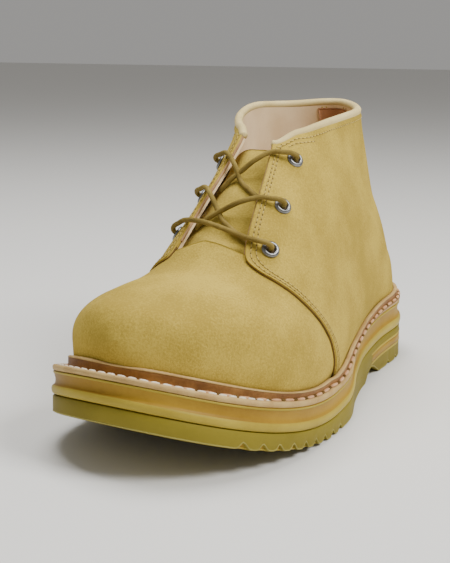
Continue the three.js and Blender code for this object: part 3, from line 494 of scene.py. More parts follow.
def material(name, light, dark, roughness, patch, grain, amount, bump, sheen, specular, metal):
    made = bpy.data.materials.new(name)
    made.use_nodes = True
    tree = made.node_tree
    shader = tree.nodes["Principled BSDF"]
    group = tree.nodes.new("ShaderNodeGroup")
    group.node_tree = mottle
    given = ((*light, 1), (*dark, 1), patch, grain, amount)
    for socket, value in zip(group.inputs, given):
        socket.default_value = value
    tree.links.new(group.outputs["Color"], shader.inputs["Base Color"])
    height = tree.nodes.new("ShaderNodeBump")
    height.inputs["Strength"].default_value = bump
    height.inputs["Distance"].default_value = 0.0004
    tree.links.new(group.outputs["Grain"], height.inputs["Height"])
    tree.links.new(height.outputs["Normal"], shader.inputs["Normal"])
    for label, value in (("Roughness", roughness), ("Metallic", metal), ("Specular IOR Level", specular),
                         ("Sheen Weight", sheen), ("Sheen Roughness", 0.5)):
        shader.inputs[label].default_value = value
    return made


# Name, light and dark colour, roughness, patch size, grain size, grain amount, bump, sheen, specular, metal
paint = {row[0]: material(*row) for row in (
    ("suede", (0.54, 0.39, 0.07), (0.37, 0.26, 0.042), 0.95, 34, 1000, 0.9, 0.75, 0.02, 0.03, 0.0),
    ("tongueSuede", (0.49, 0.355, 0.066), (0.33, 0.235, 0.04), 0.95, 34, 1000, 0.9, 0.6, 0.04, 0.04, 0.0),
    ("fleshEdge", (0.44, 0.27, 0.13), (0.3, 0.17, 0.08), 0.85, 90, 1500, 0.4, 0.3, 0.0, 0.1, 0.0),
    # painted shade: a dark brown for the shadow line along the quarters' lap over the vamp and for the gaps
    # between the lip's stitches
    ("paintedGapShade", (0.17, 0.1, 0.03), (0.1, 0.055, 0.016), 0.9, 90, 1500, 0.4, 0.3, 0.0, 0.1, 0.0),
    ("lining", (0.86, 0.66, 0.4), (0.72, 0.52, 0.29), 0.75, 35, 700, 0.2, 0.12, 0.0, 0.15, 0.0),
    ("bindingLeather", (0.7, 0.56, 0.26), (0.58, 0.45, 0.19), 0.6, 60, 900, 0.3, 0.2, 0.0, 0.2, 0.0),
    ("outsoleRubber", (0.235, 0.185, 0.018), (0.175, 0.135, 0.011), 0.6, 22, 500, 0.2, 0.12, 0.0, 0.15, 0.0),
    ("honeyRubber", (0.38, 0.225, 0.018), (0.25, 0.132, 0.01), 0.5, 26, 500, 0.2, 0.1, 0.0, 0.2, 0.0),
    # painted reflection: a lighter yellow for the light that the rounded bead strips on the sole's side
    # catch
    ("paintedBeadReflection", (0.44, 0.33, 0.04), (0.34, 0.245, 0.025), 0.5, 30, 500, 0.2, 0.1, 0.0, 0.2, 0.0),
    ("edgeRubber", (0.36, 0.31, 0.08), (0.29, 0.245, 0.05), 0.55, 30, 500, 0.2, 0.1, 0.0, 0.15, 0.0),
    ("weltLeather", (0.31, 0.15, 0.04), (0.16, 0.066, 0.018), 0.55, 80, 800, 0.35, 0.25, 0.0, 0.2, 0.0),
    ("weltPale", (0.55, 0.38, 0.15), (0.42, 0.26, 0.09), 0.6, 90, 800, 0.35, 0.2, 0.0, 0.2, 0.0),
    ("whiteThread", (0.8, 0.72, 0.58), (0.66, 0.56, 0.42), 0.8, 200, 2500, 0.3, 0.3, 0.0, 0.35, 0.0),
    ("pinkThread", (0.66, 0.4, 0.22), (0.52, 0.28, 0.14), 0.8, 200, 2500, 0.3, 0.3, 0.0, 0.1, 0.0),
    ("suedeThread", (0.54, 0.41, 0.12), (0.43, 0.31, 0.08), 0.8, 200, 2500, 0.3, 0.3, 0.0, 0.1, 0.0),
    # painted shade: a near-black for the insides of the quarters' stitch holes and of the eyelets' holes
    ("paintedHoleShade", (0.12, 0.08, 0.03), (0.08, 0.05, 0.02), 0.9, 200, 2500, 0.3, 0.3, 0.0, 0.35, 0.0),
    ("eyeletMetal", (0.3, 0.3, 0.29), (0.14, 0.14, 0.135), 0.34, 200, 900, 0.3, 0.1, 0.0, 0.35, 0.9),
    ("laceCord", (0.27, 0.195, 0.05), (0.17, 0.118, 0.028), 0.85, 120, 2200, 0.6, 0.5, 0.0, 0.1, 0.0),
    ("patchLeather", (0.52, 0.26, 0.13), (0.4, 0.19, 0.09), 0.7, 60, 900, 0.3, 0.2, 0.0, 0.15, 0.0),
    ("insoleLeather", (0.55, 0.38, 0.24), (0.45, 0.29, 0.17), 0.7, 30, 700, 0.2, 0.1, 0.0, 0.35, 0.0))}
print("materials made")

# Upper
quarter = dict(up=120, back=110, vampRows=150)


def aboveCollar(p):
    return p[..., 2] > collarAt(p[..., 1], p[..., 0])


# Section number at which the surface meets the collar line
def collarNumber(t, side):
    shape = np.shape(t)
    return bisect(np.full(shape, 10.0), np.full(shape, float(lastRow)),
                  lambda n: aboveCollar(surface(n, t, side)))


# Place on the edge of the throat, as section number and parameter
def throatPlace(n, side):
    return n, edgeParameter(n, side, throatGap(n, side))


def cornerNumber(side):
    return float(bisect(10.0, 15.0, lambda n: aboveCollar(surface(*throatPlace(n, side), side))))


def toPoints(q, side):
    return surface(q[..., 0], q[..., 1], side)


# The quarter's front edge as section number and parameter, from the welt to the collar.
def frontEdge(side, count):
    seam = np.stack([lengthwise(quarterSeam[:, 0]), ballPlane + instepHeight * quarterSeam[:, 1]], 1)
    fine = resample(seam, 40)
    k = np.linspace(0, 1, 40)
    startNumber = np.interp(k, [0, 0.3, 0.7, 1], [8.1, 8.3, 7.8, 7.6])
    low = solveSide(fine, side, np.stack([startNumber, np.interp(k, [0, 1], [0.05, 0.8])], 1))
    near = np.linspace(7.5, 9.3, 181)
    throat = surface(*throatPlace(near, side), side)
    meet = near[np.argmin(np.linalg.norm(throat - toPoints(low, side)[-1], axis=1))]
    high = np.stack(throatPlace(np.linspace(meet + 0.12, cornerNumber(side), 40), side), 1)
    both = np.vstack([low[:-1], high])
    length = arcLength(toPoints(both, side))
    edge = pickAlong(both, length, np.linspace(0, length[-1], count))
    for _ in range(6):
        edge[1:-1] = (edge[:-2] + 2 * edge[1:-1] + edge[2:]) / 4
    return edge


# Patch over section number and parameter, blended from its four edges.
def quarterGrid(side, up, back):
    a, b = np.linspace(0, 1, up)[:, None, None], np.linspace(0, 1, back)[None, :, None]
    front = frontEdge(side, up)
    topT = np.linspace(front[-1, 1], 0, back)
    top = np.stack([collarNumber(topT, side), topT], 1)
    top[0] = front[-1]
    bottom = np.stack([np.linspace(front[0, 0], heelRow, back), np.zeros(back)], 1)
    front[0, 1] = 0.0
    rear = np.stack([np.linspace(heelRow, top[-1, 0], up), np.zeros(up)], 1)
    corners = (1 - a) * ((1 - b) * front[0] + b * rear[0]) + a * ((1 - b) * front[-1] + b * rear[-1])
    return (1 - b) * front[:, None] + b * rear[:, None] + (1 - a) * bottom[None] + a * top[None] - corners


# Hand-worked unevenness of the leather: a few broad waves, in millimetres.
def soften(points, amount=0.5):
    x, y, z = points[..., 0], points[..., 1], points[..., 2]
    return amount * (0.5 * np.sin(x / 13 + 1.3 + y / 41) * np.cos(z / 17 + y / 23)
                     + 0.3 * np.sin(y / 11 - z / 19) + 0.2 * np.cos(x / 7 + z / 9 + 0.7))


# Share that rises from 0 at the grid's border to 1 a number of rows inside it
def fadeEdges(shape, count):
    r, c = shape
    i = np.minimum(np.arange(r), np.arange(r)[::-1])[:, None]
    j = np.minimum(np.arange(c), np.arange(c)[::-1])[None, :]
    return np.clip(np.minimum(i, j) / count, 0, 1)


quarterEdges = {}
for side, label in ((1, "Lateral"), (-1, "Medial")):
    q = quarterGrid(side, quarter["up"], quarter["back"])
    points = toPoints(q, side)
    normals = surfaceNormal(q[..., 0], q[..., 1], side)
    wave = soften(points) * fadeEdges(points.shape[:2], 12)
    points = points + normals * wave[..., None]
    quarterEdges[side] = (points, normals)
    piece = thickSheet("quarter" + label, points, normals, lap, -0.5, 0.35, flip=side < 0)
    put(piece, "suede", "suede", *(["upper"] if side > 0 else []))
    inside = thickSheet("lining" + label, points, normals, -0.75, -wall, 0.1, flip=side < 0)
    put(inside, "suede", "lining")

nEnd = curve([0, 0.1, 0.3, 0.5, 0.7, 0.85, 1.0], [9.0, 9.1, 9.1, 8.75, 8.3, 8.2, 8.55])
vampT = np.concatenate([np.linspace(0, 1, 75), np.linspace(1, 0, 75)[1:]])
vampSide = np.concatenate([np.ones(75), -np.ones(74)])
rowShare = np.linspace(0, 1, quarter["vampRows"]) ** 1.9
vampNumber, vampT = rowShare[:, None] * nEnd(vampT)[None], np.tile(vampT, (len(rowShare), 1))
vampPoints = bothSides(surface, vampNumber, vampT, vampSide)
vampNormals = bothSides(surfaceNormal, vampNumber, vampT, vampSide)


# Unit normals of a grid from the faces around each point.
def gridNormals(points):
    du = np.gradient(points, axis=0)
    dv = np.gradient(points, axis=1)
    normal = np.cross(dv, du)
    return unit(normal), np.linalg.norm(normal, axis=-1)


own, size = gridNormals(vampPoints)
own = np.where((own * vampNormals).sum(-1, keepdims=True) < 0, -own, own)
vampNormals = np.where(size[..., None] > 1e-4, own, vampNormals)
vampNormals[0] = unit(np.array([0, -1, 0.05]))
vampWave = soften(vampPoints, 0.45) * fadeEdges(vampPoints.shape[:2], 10)
vampPoints = vampPoints + vampNormals * vampWave[..., None]
vamp = thickSheet("vamp", vampPoints, vampNormals, 0, -wall, 0.1, folded=True)
put(vamp, "suede", "suede")
print("upper made")


# Collar binding: path of the strip along the collar edge, from one corner to the other.
def collarPath():
    points = []
    for side in (1, -1):
        t = np.linspace(throatPlace(cornerNumber(side), side)[1], 0, 70)
        n = collarNumber(t, side)
        n[0] = cornerNumber(side)
        p = surface(n, t, side) + surfaceNormal(n, t, side) * ((lap - wall) / 2)
        points.append(p if side > 0 else p[::-1][1:])
    return resample(np.vstack(points), 170)


path = collarPath()
put(tube("collarBinding", path, 2.35, 16), "binding_leather", "bindingLeather", "collar_binding")

# Sole
soleSteps = 260
k = np.linspace(0, 1, soleSteps + 1)
soleShares = 0.55 * (1 - np.cos(k * np.pi)) / 2 + 0.45 * k
soleShares[0], soleShares[-1] = 0, 1
loopAt = np.concatenate([soleShares, soleShares[1:-1][::-1]])
loopSide = np.concatenate([np.ones(soleSteps + 1), -np.ones(soleSteps - 1)])
loopHalf = np.where(loopSide > 0, halfWidth(loopAt, 1), halfWidth(loopAt, -1))
loopX = halfBall * middleShare(loopAt) + loopSide * loopHalf
loopY = lengthwise(loopAt)
forward = np.stack([np.roll(loopX, -1) - np.roll(loopX, 1), np.roll(loopY, -1) - np.roll(loopY, 1)], 1)
loopNormal = np.stack([-forward[:, 1], forward[:, 0]], 1)
loopCount = len(loopAt)


def smoothLoop(values, times=6):
    for _ in range(times):
        values = (np.roll(values, 1, 0) + 2 * values + np.roll(values, -1, 0)) / 4
    return values


loopNormal = unit(smoothLoop(unit(loopNormal)))


# The upper's bottom edge moved outwards, at a height that follows the place along the boot.
def soleRing(out, up):
    grow = out(loopAt) if callable(out) else np.full(loopCount, float(out))
    x = loopX + loopNormal[:, 0] * grow
    y = loopY + loopNormal[:, 1] * grow
    return np.stack([x, y, up(shareAt(y), y)], 1)


# Points and quads that close a ring by straight rows from one side to the other.
def capAcross(ring, first, across, zOf=None):
    lateral = ring[:soleSteps + 1]
    medial = np.vstack([ring[:1], ring[soleSteps:][::-1]])
    s = np.linspace(0, 1, across)[None, 1:-1, None]
    inner = lateral[1:-1, None] * (1 - s) + medial[1:-1, None] * s
    if zOf is not None:
        inner[..., 2] = zOf(inner[..., 0], inner[..., 1])
    count = soleSteps - 1
    index = np.zeros((soleSteps + 1, across), int)
    index[:, 0] = np.arange(soleSteps + 1)
    index[:, -1] = np.concatenate([[0], np.arange(soleSteps, loopCount)[::-1]])
    index[1:-1, 1:-1] = first + np.arange(count * (across - 2)).reshape(count, across - 2)
    index[0, 1:-1] = 0
    index[-1, 1:-1] = soleSteps
    return inner.reshape(-1, 3), index


# Closed solid through rings round the boot, from the bottom ring to the top ring.
def sweepSole(name, rings, bottomAcross=2, topAcross=2, bottomZ=None):
    grid = np.stack(rings)
    count = len(rings)
    points = [grid.reshape(-1, 3)]
    faces = [tubeFaces(count, loopCount)[:, [1, 0, 3, 2]]]
    first = count * loopCount
    for which, across, zOf in ((0, bottomAcross, bottomZ), (count - 1, topAcross, None)):
        inner, index = capAcross(grid[which], first, max(across, 3), zOf)
        offset = which * loopCount
        index = np.where(index < loopCount, index + offset, index) if which else index
        points.append(inner)
        first += len(inner)
        a, b, c, d = index[:-1, :-1], index[1:, :-1], index[1:, 1:], index[:-1, 1:]
        quads = np.stack([a, b, c, d], -1).reshape(-1, 4)
        faces.append(quads if which == 0 else quads[:, ::-1])
    return makeClean(name, np.concatenate(points), np.concatenate(faces))


# Closed ring-shaped strip through profile rings that return to the first.
def ringSolid(name, rings):
    faces = tubeFaces(len(rings) + 1, loopCount)[:, [1, 0, 3, 2]] % (len(rings) * loopCount)
    return makeMesh(name, np.concatenate(rings), faces)


# Triangular groove: deepest at its centre, none at half its width
def notch(y, centre, width, depth):
    return depth * np.clip(1 - np.abs(y - centre) / (width / 2), 0, 1)


lugPitch, lugDepth, lugWidth = 10.6, 3.6, 6.4


# Rise of the bottom above the plain sole: saw-tooth grooves, heel grooves and the arch.
def treadOf(y):
    rise = np.zeros_like(y)
    for i in range(9):
        rise = np.maximum(rise, notch(y, lengthwise(0.615) - lugPitch * i, lugWidth, lugDepth))
    for at in (0.165, 0.115, 0.065):
        rise = np.maximum(rise, notch(y, lengthwise(at), lugWidth, 2.6))
    arch = np.interp(shareAt(y), [0.222, 0.258, 0.284, 0.303, 0.33], [0, 5.04, 7, 5.6, 0])
    return np.maximum(rise, arch)


bottomOf = lambda at, y: springOf(at) + treadOf(y)


# Ring at a distance out from the sole's side, which lies a margin outside the upper.
def sideRing(out, up):
    return soleRing(lambda at: marginOf(at) + out, up)


# Outsole: distance out from the side, then height
outsoleRings = [sideRing(out, up) for out, up in (
    (-1.0, bottomOf),
    (-0.3, lambda at, y: bottomOf(at, y) + 0.25),
    (0, lambda at, y: np.minimum(bottomOf(at, y) + 1.0, seamOf(at) - 1.6)),
    (0.05, lambda at, y: np.minimum((bottomOf(at, y) + seamOf(at)) / 2 + 0.5, seamOf(at) - 1.2)),
    (0, lambda at, y: seamOf(at) - 0.9),
    (-0.4, lambda at, y: seamOf(at) - 0.25),
    (-1.2, lambda at, y: seamOf(at)))]
put(sweepSole("outsole_detail", outsoleRings, 14, 3, lambda x, y: bottomOf(shareAt(y), y)),
    "outsole_rubber", "outsoleRubber", "outsole")

# Midsole: share of the thickness from the bottom up, and how far that level stands out
bandProfile = [(0.0, -1.6), (0.02, -0.9), (0.05, -0.25), (0.1, 0.25), (0.18, 0.5), (0.27, 0.5), (0.35, 0.2),
               (0.41, -0.3), (0.45, -0.85), (0.5, -1.15), (0.6, -1.4), (0.72, -1.35), (0.85, -0.9),
               (0.95, -0.45), (1.0, -0.5)]
midsoleLift = 0.15  # the midsole's underside above the seam
midsoleRings = [
    sideRing(out, lambda at, y, share=share: seamOf(at) + midsoleLift * (1 - share) + midsoleOf(at) * share)
    for share, out in bandProfile]
put(sweepSole("midsole_detail", midsoleRings), "midsole_rubber", "honeyRubber", "midsole")

# Strips laid on the side of the sole: name, slot, paint, whether it is on the heel alone, and its
# profile as share of the midsole's thickness above the seam and distance out
strips = [
    # The lighter yellow of the bead strips is a painted reflection on their rounded faces
    ("midsoleBead", "midsole_rubber", "paintedBeadReflection", False,
     ((0.03, -1.5), (0.03, -0.35), (0.08, 0.3), (0.18, 0.62), (0.28, 0.62), (0.37, 0.25), (0.42, -0.45),
      (0.42, -1.7))),
    ("midsoleTopLine", "midsole_rubber", "paintedBeadReflection", False,
     ((0.9, -1.6), (0.9, -0.55), (0.93, -0.28), (0.985, -0.25), (0.995, -1.6))),
    ("heelLine1", "outsole_rubber", "paintedBeadReflection", True,
     ((-0.34, -1.0), (-0.34, 0.1), (-0.3, 0.32), (-0.26, 0.1), (-0.26, -1.0))),
    ("heelLine2", "outsole_rubber", "paintedBeadReflection", True,
     ((-0.72, -1.0), (-0.72, 0.1), (-0.68, 0.32), (-0.64, 0.1), (-0.64, -1.0))),
    ("heelWedge", "outsole_rubber", "honeyRubber", True,
     ((-0.66, -1.0), (-0.66, 0.08), (-0.5, 0.14), (-0.32, 0.08), (-0.32, -1.0)))]
heelSink = 1.6  # how far a strip of the heel sinks under the side in front of it
for name, slotName, paintName, heelAlone, profile in strips:
    rings = [soleRing(
        lambda at, out=out: marginOf(at) + out - (heelSink * smooth(at, 0.27, 0.33) if heelAlone else 0),
        lambda at, y, share=share: seamOf(at) + midsoleOf(at) * share) for share, out in profile]
    put(ringSolid(name, rings), slotName, paintName)

# Light line on the outsole's bottom edge: distance out and height above the tread
lineProfile = ((-0.5, 0.3), (-0.3, 0.22), (0.05, 0.35), (0.12, 0.75), (-0.15, 1.0), (-0.5, 0.9))
bottomLine = [sideRing(out, lambda at, y, rise=rise: np.minimum(bottomOf(at, y) + rise, seamOf(at) - 1.7))
              for out, rise in lineProfile]
put(ringSolid("outsoleEdge", bottomLine), "outsole_rubber", "edgeRubber")
print("sole made")

# Welt
bottomNumbers = np.linspace(0, heelRow, 600)
bottomShares = rowCurves[0](bottomNumbers)
loopNumber = np.interp(loopAt, bottomShares[::-1], bottomNumbers[::-1])
lapShare = curve([0, 0.61, 0.645, 1], [1, 1, 0, 0])


# Ring round the upper's own surface at a height above the sole's deck, moved outwards. Above the
# flange the heights are stretched by the lip's own height, which is greatest at the toe.
def formRing(height, out):
    lip = (lipHeight + lipToeRise * smooth(loopAt, 0.78, 1)) / lipHeight
    level = deckOf(loopAt) + np.minimum(height, flangeTop) + max(height - flangeTop, 0) * lip
    form = lambda t: bothSides(surface, loopNumber, t, loopSide)
    p = form(bisect(np.zeros(loopCount), np.full(loopCount, below), lambda t: form(t)[:, 2] > level, 30))
    atHeel = 1 - smooth(loopAt, 0.02, 0.13)[:, None]
    p = p * (1 - atHeel) + np.stack([loopX, loopY, level], 1) * atHeel
    p = smoothLoop(p, 3)
    grow = out + lap * lapShare(loopAt)
    x, y = p[:, 0] + loopNormal[:, 0] * grow, p[:, 1] + loopNormal[:, 1] * grow
    return np.stack([x, y, p[:, 2]], 1)


def deckRing(out, rise):
    return soleRing(out, lambda at, y: deckOf(at) + rise)


# Flange: distance out from the sole's side and height above its deck, between two inner rings
flangeProfile = ((-0.7, 0.2), (-0.15, 0.6), (0.05, 1.7), (-0.15, 2.8), (-0.8, 3.25), (-2.2, 3.3),
                 (-3.2, 3.05), (-4.4, 3.1))
flangeRings = [deckRing(lambda at, out=out: marginOf(at) + out, rise) for out, rise in flangeProfile]
flangeRings = [deckRing(-1.0, 0.2)] + flangeRings + [deckRing(-1.0, 3.2)]
put(ringSolid("weltFlange", flangeRings), "welt_leather", "weltPale", "welt")

# Lip and its pale edge: height above the deck and distance out from the upper
lipProfile = ((1.0, 0.25), (2.6, lipThick + 2.0), (3.5, lipThick + 1.9), (4.1, lipThick + 0.9),
              (5.0, lipThick + 0.35), (6.4, lipThick + 0.2), (7.3, lipThick + 0.1), (7.75, lipThick - 0.5),
              (7.85, lipThick - 1.3), (7.6, 0.4), (6.8, 0.25))
edgeProfile = ((7.45, lipThick + 0.22), (7.85, lipThick + 0.05), (8.05, lipThick - 0.6),
               (8.05, lipThick - 1.5), (7.9, 0.3), (7.3, 0.25), (7.2, lipThick - 0.6))
for name, profile, paintName in (("weltLip", lipProfile, "weltLeather"),
                                 ("weltLipEdge", edgeProfile, "weltPale")):
    put(ringSolid(name, [formRing(*row) for row in profile]), "welt_leather", paintName)


# Stitches: one rounded bar for each place, all from the same small unit shape.
def beads(name, centres, along, up, length, width, height):
    u = np.linspace(0, np.pi, 7)[:, None]
    v = np.linspace(0, 2 * np.pi, 8, endpoint=False)[None, :]
    plump = np.sin(u) ** 0.6
    bar = np.stack(np.broadcast_arrays(-np.cos(u), plump * np.cos(v), plump * np.sin(v)), -1).reshape(-1, 3)
    along = unit(along)
    across = unit(np.cross(up, along))
    points = centres[:, None]
    for axis, way, size in ((0, along, length), (1, across, width), (2, np.cross(along, across), height)):
        points = points + way[:, None] * bar[None, :, axis:axis + 1] * size / 2
    base = tubeFaces(7, 8)
    faces = (base[None] + (np.arange(len(centres)) * 56)[:, None, None]).reshape(-1, 4)
    return makeMesh(name, points, faces)


# Even places on a closed ring at about the pitch, with the way on and the way up.
def alongRing(ring, pitch, shift=0.0):
    closed = np.vstack([ring, ring[:1]])
    length = arcLength(closed)
    count = int(round(length[-1] / pitch))
    wanted = (np.arange(count) + shift) / count * length[-1]
    centres = pickAlong(closed, length, wanted)
    ahead = pickAlong(closed, length, (wanted + 1) % length[-1])
    return centres, ahead - centres, np.tile([0, 0, 1.0], (count, 1))


weltSeam = deckRing(lambda at: marginOf(at) - 3.1, 3.3)
lipFoot = formRing(4.1, lipThick + 1.25)
# Name, ring, pitch, shift, then length, width and height of one stitch, and paint
for name, ring, pitch, shift, size, paintName in (
        ("weltStitches", weltSeam, 5.4, 0, (4.3, 1.6, 1.5), "whiteThread"),
        ("lipStitches", lipFoot, 9.6, 0, (6.6, 1.9, 1.6), "pinkThread"),
        # The dark bars between the lip's stitches are painted shade in the stitch holes
        ("lipGaps", lipFoot, 9.6, 0.5, (3.0, 1.7, 1.3), "paintedGapShade")):
    put(beads(name, *alongRing(ring, pitch, shift), *size), "welt_leather", paintName)
print("welt made")


# Stitches of the upper
# Places of a stitch row: on each line the point at a length inset from its beginning, and then even
# steps along the path through those points, from start to end.
def insetRow(lines, ups, inset, pitch, start, end):
    runs = [arcLength(line) for line in lines]
    across = lambda values: np.vstack([pickAlong(row, run, [inset]) for row, run in zip(values, runs)])
    path, up = across(lines), across(ups)
    length = arcLength(path)
    wanted = np.arange(start(length[-1]), end(length[-1]), pitch)
    centres = pickAlong(path, length, wanted)
    return centres, pickAlong(path, length, wanted + 1) - centres, pickAlong(up, length, wanted)


stitch = dict(pitch=3.0, size=(2.1, 0.7, 0.55), rise=0.15,
              hole=(0.9, 0.85, 0.5), holeAhead=1.5, holeDeep=0.22)


def joined(parts):
    return [np.concatenate([part[i] for part in parts]) for i in range(3)]


for side, label in ((1, "Lateral"), (-1, "Medial")):
    points, normals = quarterEdges[side]
    skin = points + normals * (lap + stitch["rise"])
    fromCollar, collarUps = (values[::-1].transpose(1, 0, 2) for values in (skin, normals))
    share = lambda part: lambda length: length * part
    parts = [insetRow(skin, normals, inset, stitch["pitch"], share(0.02), share(0.985))
             for inset in (2.6, 5.4)]
    parts += [insetRow(fromCollar, collarUps, inset, stitch["pitch"], share(start), share(end))
              for inset, start, end in ((4.2, 0.03, 1.0), (7.2, 0.08, 0.22))]
    centres, along, up = joined(parts)
    put(beads("quarterStitches" + label, centres, along, up, *stitch["size"]), "suede", "suedeThread")
    # Dark bars a little ahead of each stitch, sunk into the leather: painted shade in the stitch holes
    centres = centres + unit(along) * stitch["holeAhead"] - up * stitch["holeDeep"]
    put(beads("quarterHoles" + label, centres, along, up, *stitch["hole"]), "suede", "paintedHoleShade")

# Strips along the quarters' front edges: a dark painted shadow line along the seam over the vamp, where the
# quarter laps it, and the flesh-coloured cut edge up the throat
# Rows of the quarter's front edge that a strip covers, its radius, and its rise over the leather
edgeStrips = (("seam", 0, 68, 0.62, 0.35, "paintedGapShade"), ("throat", 70, 120, 0.8, -0.3, "fleshEdge"))
for side, label in ((1, "Lateral"), (-1, "Medial")):
    points, normals = quarterEdges[side]
    for part, first, last, radius, rise, paintName in edgeStrips:
        path = resample((points[:, 0] + normals[:, 0] * rise)[first:last], 110)
        put(tube(part + "Edge" + label, path, radius, 10), "suede", paintName)

# Back strip of the lining: two rows of stitches down each side of the middle
for side, label in ((1, "Lateral"), (-1, "Medial")):
    points, normals = quarterEdges[side]
    inner, facing = (points - normals * (wall + stitch["rise"]))[::-1, ::-1], -normals[::-1, ::-1]
    parts = [insetRow(inner, facing, inset, stitch["pitch"], lambda length: 3, lambda length: 46)
             for inset in (6.0, 8.5)]
    put(beads("liningStitches" + label, *joined(parts), 2.2, 0.7, 0.5), "suede", "suedeThread")

# Bare patch behind the collar, across the middle of the back
patchT = np.concatenate([np.linspace(0.075, 0, 13), np.linspace(0, 0.075, 13)[1:]])
patchSide = np.concatenate([np.ones(13), -np.ones(12)])
patchTop = np.where(patchSide > 0, collarNumber(patchT, 1), collarNumber(patchT, -1))
patchNumber = patchTop[None] + np.linspace(-0.62, -0.12, 12)[:, None]
patchPlace = [*np.broadcast_arrays(patchNumber, patchT[None]), patchSide]
patch = thickSheet("innerPatch", bothSides(surface, *patchPlace), bothSides(surfaceNormal, *patchPlace),
                   -wall - 0.1, -wall - 0.6, 0.15)
put(patch, "insole_leather", "patchLeather")
print("stitches made")

# Tongue
tongueShape = dict(first=7.8, last=11.8, half=26.0, sink=4.4, thick=2.6)
s = np.linspace(-1, 1, 61)[None, :]
number = np.linspace(tongueShape["first"], tongueShape["last"], 70)[:, None] * np.ones_like(s)
out = np.maximum(np.abs(s) * tongueShape["half"], 0.02)
onForm = lambda make: np.where(
    s[..., None] >= 0, *(make(number, edgeParameter(number, side, out), side) for side in (1, -1)))
begin = smooth(number, tongueShape["first"], 9.0) * (1 - s * s)
depth = wall + 0.3 + begin * (tongueShape["sink"] + 0.35 * np.sin(number * 7 + s * 2))
ups = onForm(surfaceNormal)
tongue = thickSheet("tongueFlap", onForm(surface) - ups * depth[..., None], ups, 0, -tongueShape["thick"],
                    0.5, flip=True)
put(tongue, "suede", "tongueSuede", "tongue")

# Insole
insoleRings = [deckRing(-wall - out, rise) for out, rise in ((1.0, 0.4), (0.9, 3.6), (1.6, 4.2))]
put(sweepSole("insoleBed", insoleRings, 3, 12), "insole_leather", "insoleLeather", "insole")

# Eyelets
ringProfile = [(2.3, -1.9), (2.3, 1.9), (2.45, 2.7), (2.9, 3.15), (3.6, 3.15), (4.25, 2.75), (4.6, 2.2),
               (4.65, 1.85), (3.0, 1.8), (3.0, -1.9)]
boreProfile = [(0.02, 1.75), (2.35, 1.75), (2.35, 1.55), (0.02, 1.55)]


# Profile of radius and height turned about an axis through a centre.
def lathe(name, profile, centre, axis, segments=32):
    axis = unit(axis)
    a = unit(np.cross(axis, [0, 0, 1.0]))
    b = np.cross(axis, a)
    angle = np.arange(segments) / segments * 2 * np.pi
    circle = a[None] * np.cos(angle)[:, None] + b[None] * np.sin(angle)[:, None]
    profile = np.array(profile)
    points = centre + circle[None] * profile[:, None, 0:1] + axis * profile[:, None, 1:2]
    faces = tubeFaces(len(profile) + 1, segments) % (len(profile) * segments)
    return makeMesh(name, points, faces)


for side, label in ((1, "lateral"), (-1, "medial")):
    for i, n in enumerate(eyeletSections[side]):
        out = throatGap(n, side) + eyeletInset
        t = edgeParameter(n, side, out)
        centre, axis = surface(n, t, side), surfaceNormal(n, t, side)
        ring = lathe(f"ring_{label}_{i + 1}", ringProfile, centre, axis)
        put(ring, "eyelet_metal", "eyeletMetal", f"eyelet_{label}_{i + 1}")
        # A dark disc across the eyelet's hole: painted shade inside it
        bore = lathe(f"bore_{label}_{i + 1}", boreProfile, centre, axis, 20)
        put(bore, "eyelet_metal", "paintedHoleShade")
print("eyelets made")

# Laces
laceRadius = 1.35
onQuarter = lap + laceRadius + 0.35
overRing = lap + 0.55 + 1.1 + laceRadius + 0.2


# Smooth curve through the points. The knots are spaced by the square root of the distance, and each
# stretch blends its four nearest points in pairs, three times over. It is sampled evenly.
def spline(points, count):
    p = np.asarray(points, float)
    p = np.vstack([2 * p[0] - p[1], p, 2 * p[-1] - p[-2]])
    out = []
    for i in range(1, len(p) - 2):
        four = p[i - 1:i + 3]
        steps = np.maximum(np.linalg.norm(np.diff(four, axis=0), axis=1), 1e-6)
        k = np.concatenate([[0], np.cumsum(steps ** 0.5)])
        t = np.linspace(k[1], k[2], 24, endpoint=False)[:, None]
        for spans in (((0, 1), (1, 2), (2, 3)), ((0, 2), (1, 3)), ((1, 2),)):
            four = [(k[b] - t) / (k[b] - k[a]) * four[j] + (t - k[a]) / (k[b] - k[a]) * four[j + 1]
                    for j, (a, b) in enumerate(spans)]
        out.append(four[0])
    out.append(p[-2][None])
    return resample(np.vstack(out), count)


def intoEyelet(edge):
    return [(edge + 1, onQuarter), (edge + eyeletInset - 5.2, overRing - 0.1),
            (edge + eyeletInset - 2.4, overRing + 0.9), (edge + eyeletInset - 0.3, overRing),
            (edge + eyeletInset, overRing - 2.6), (edge + eyeletInset, overRing - 5)]


# Point out from the ridge plane above the widest place, raised off the surface.
def place(n, side, out, rise):
    t = edgeParameter(n, side, max(out, 0.01))
    return surface(n, t, side) + surfaceNormal(n, t, side) * rise


nLow, nFar = eyeletSections[1][0], eyeletSections[-1][0]
bar = [place(nLow, 1, o, r) for o, r in intoEyelet(throatGap(nLow, 1))][::-1]
bar += [place((nLow + nFar) / 2, 1, 0.01, onQuarter - 0.8)]
bar += [place(nFar, -1, o, r) for o, r in intoEyelet(throatGap(nFar, -1))]
put(tube("laceBar", spline(bar, 150), laceRadius, 14), "lace_cord", "laceCord", "lace_bar")


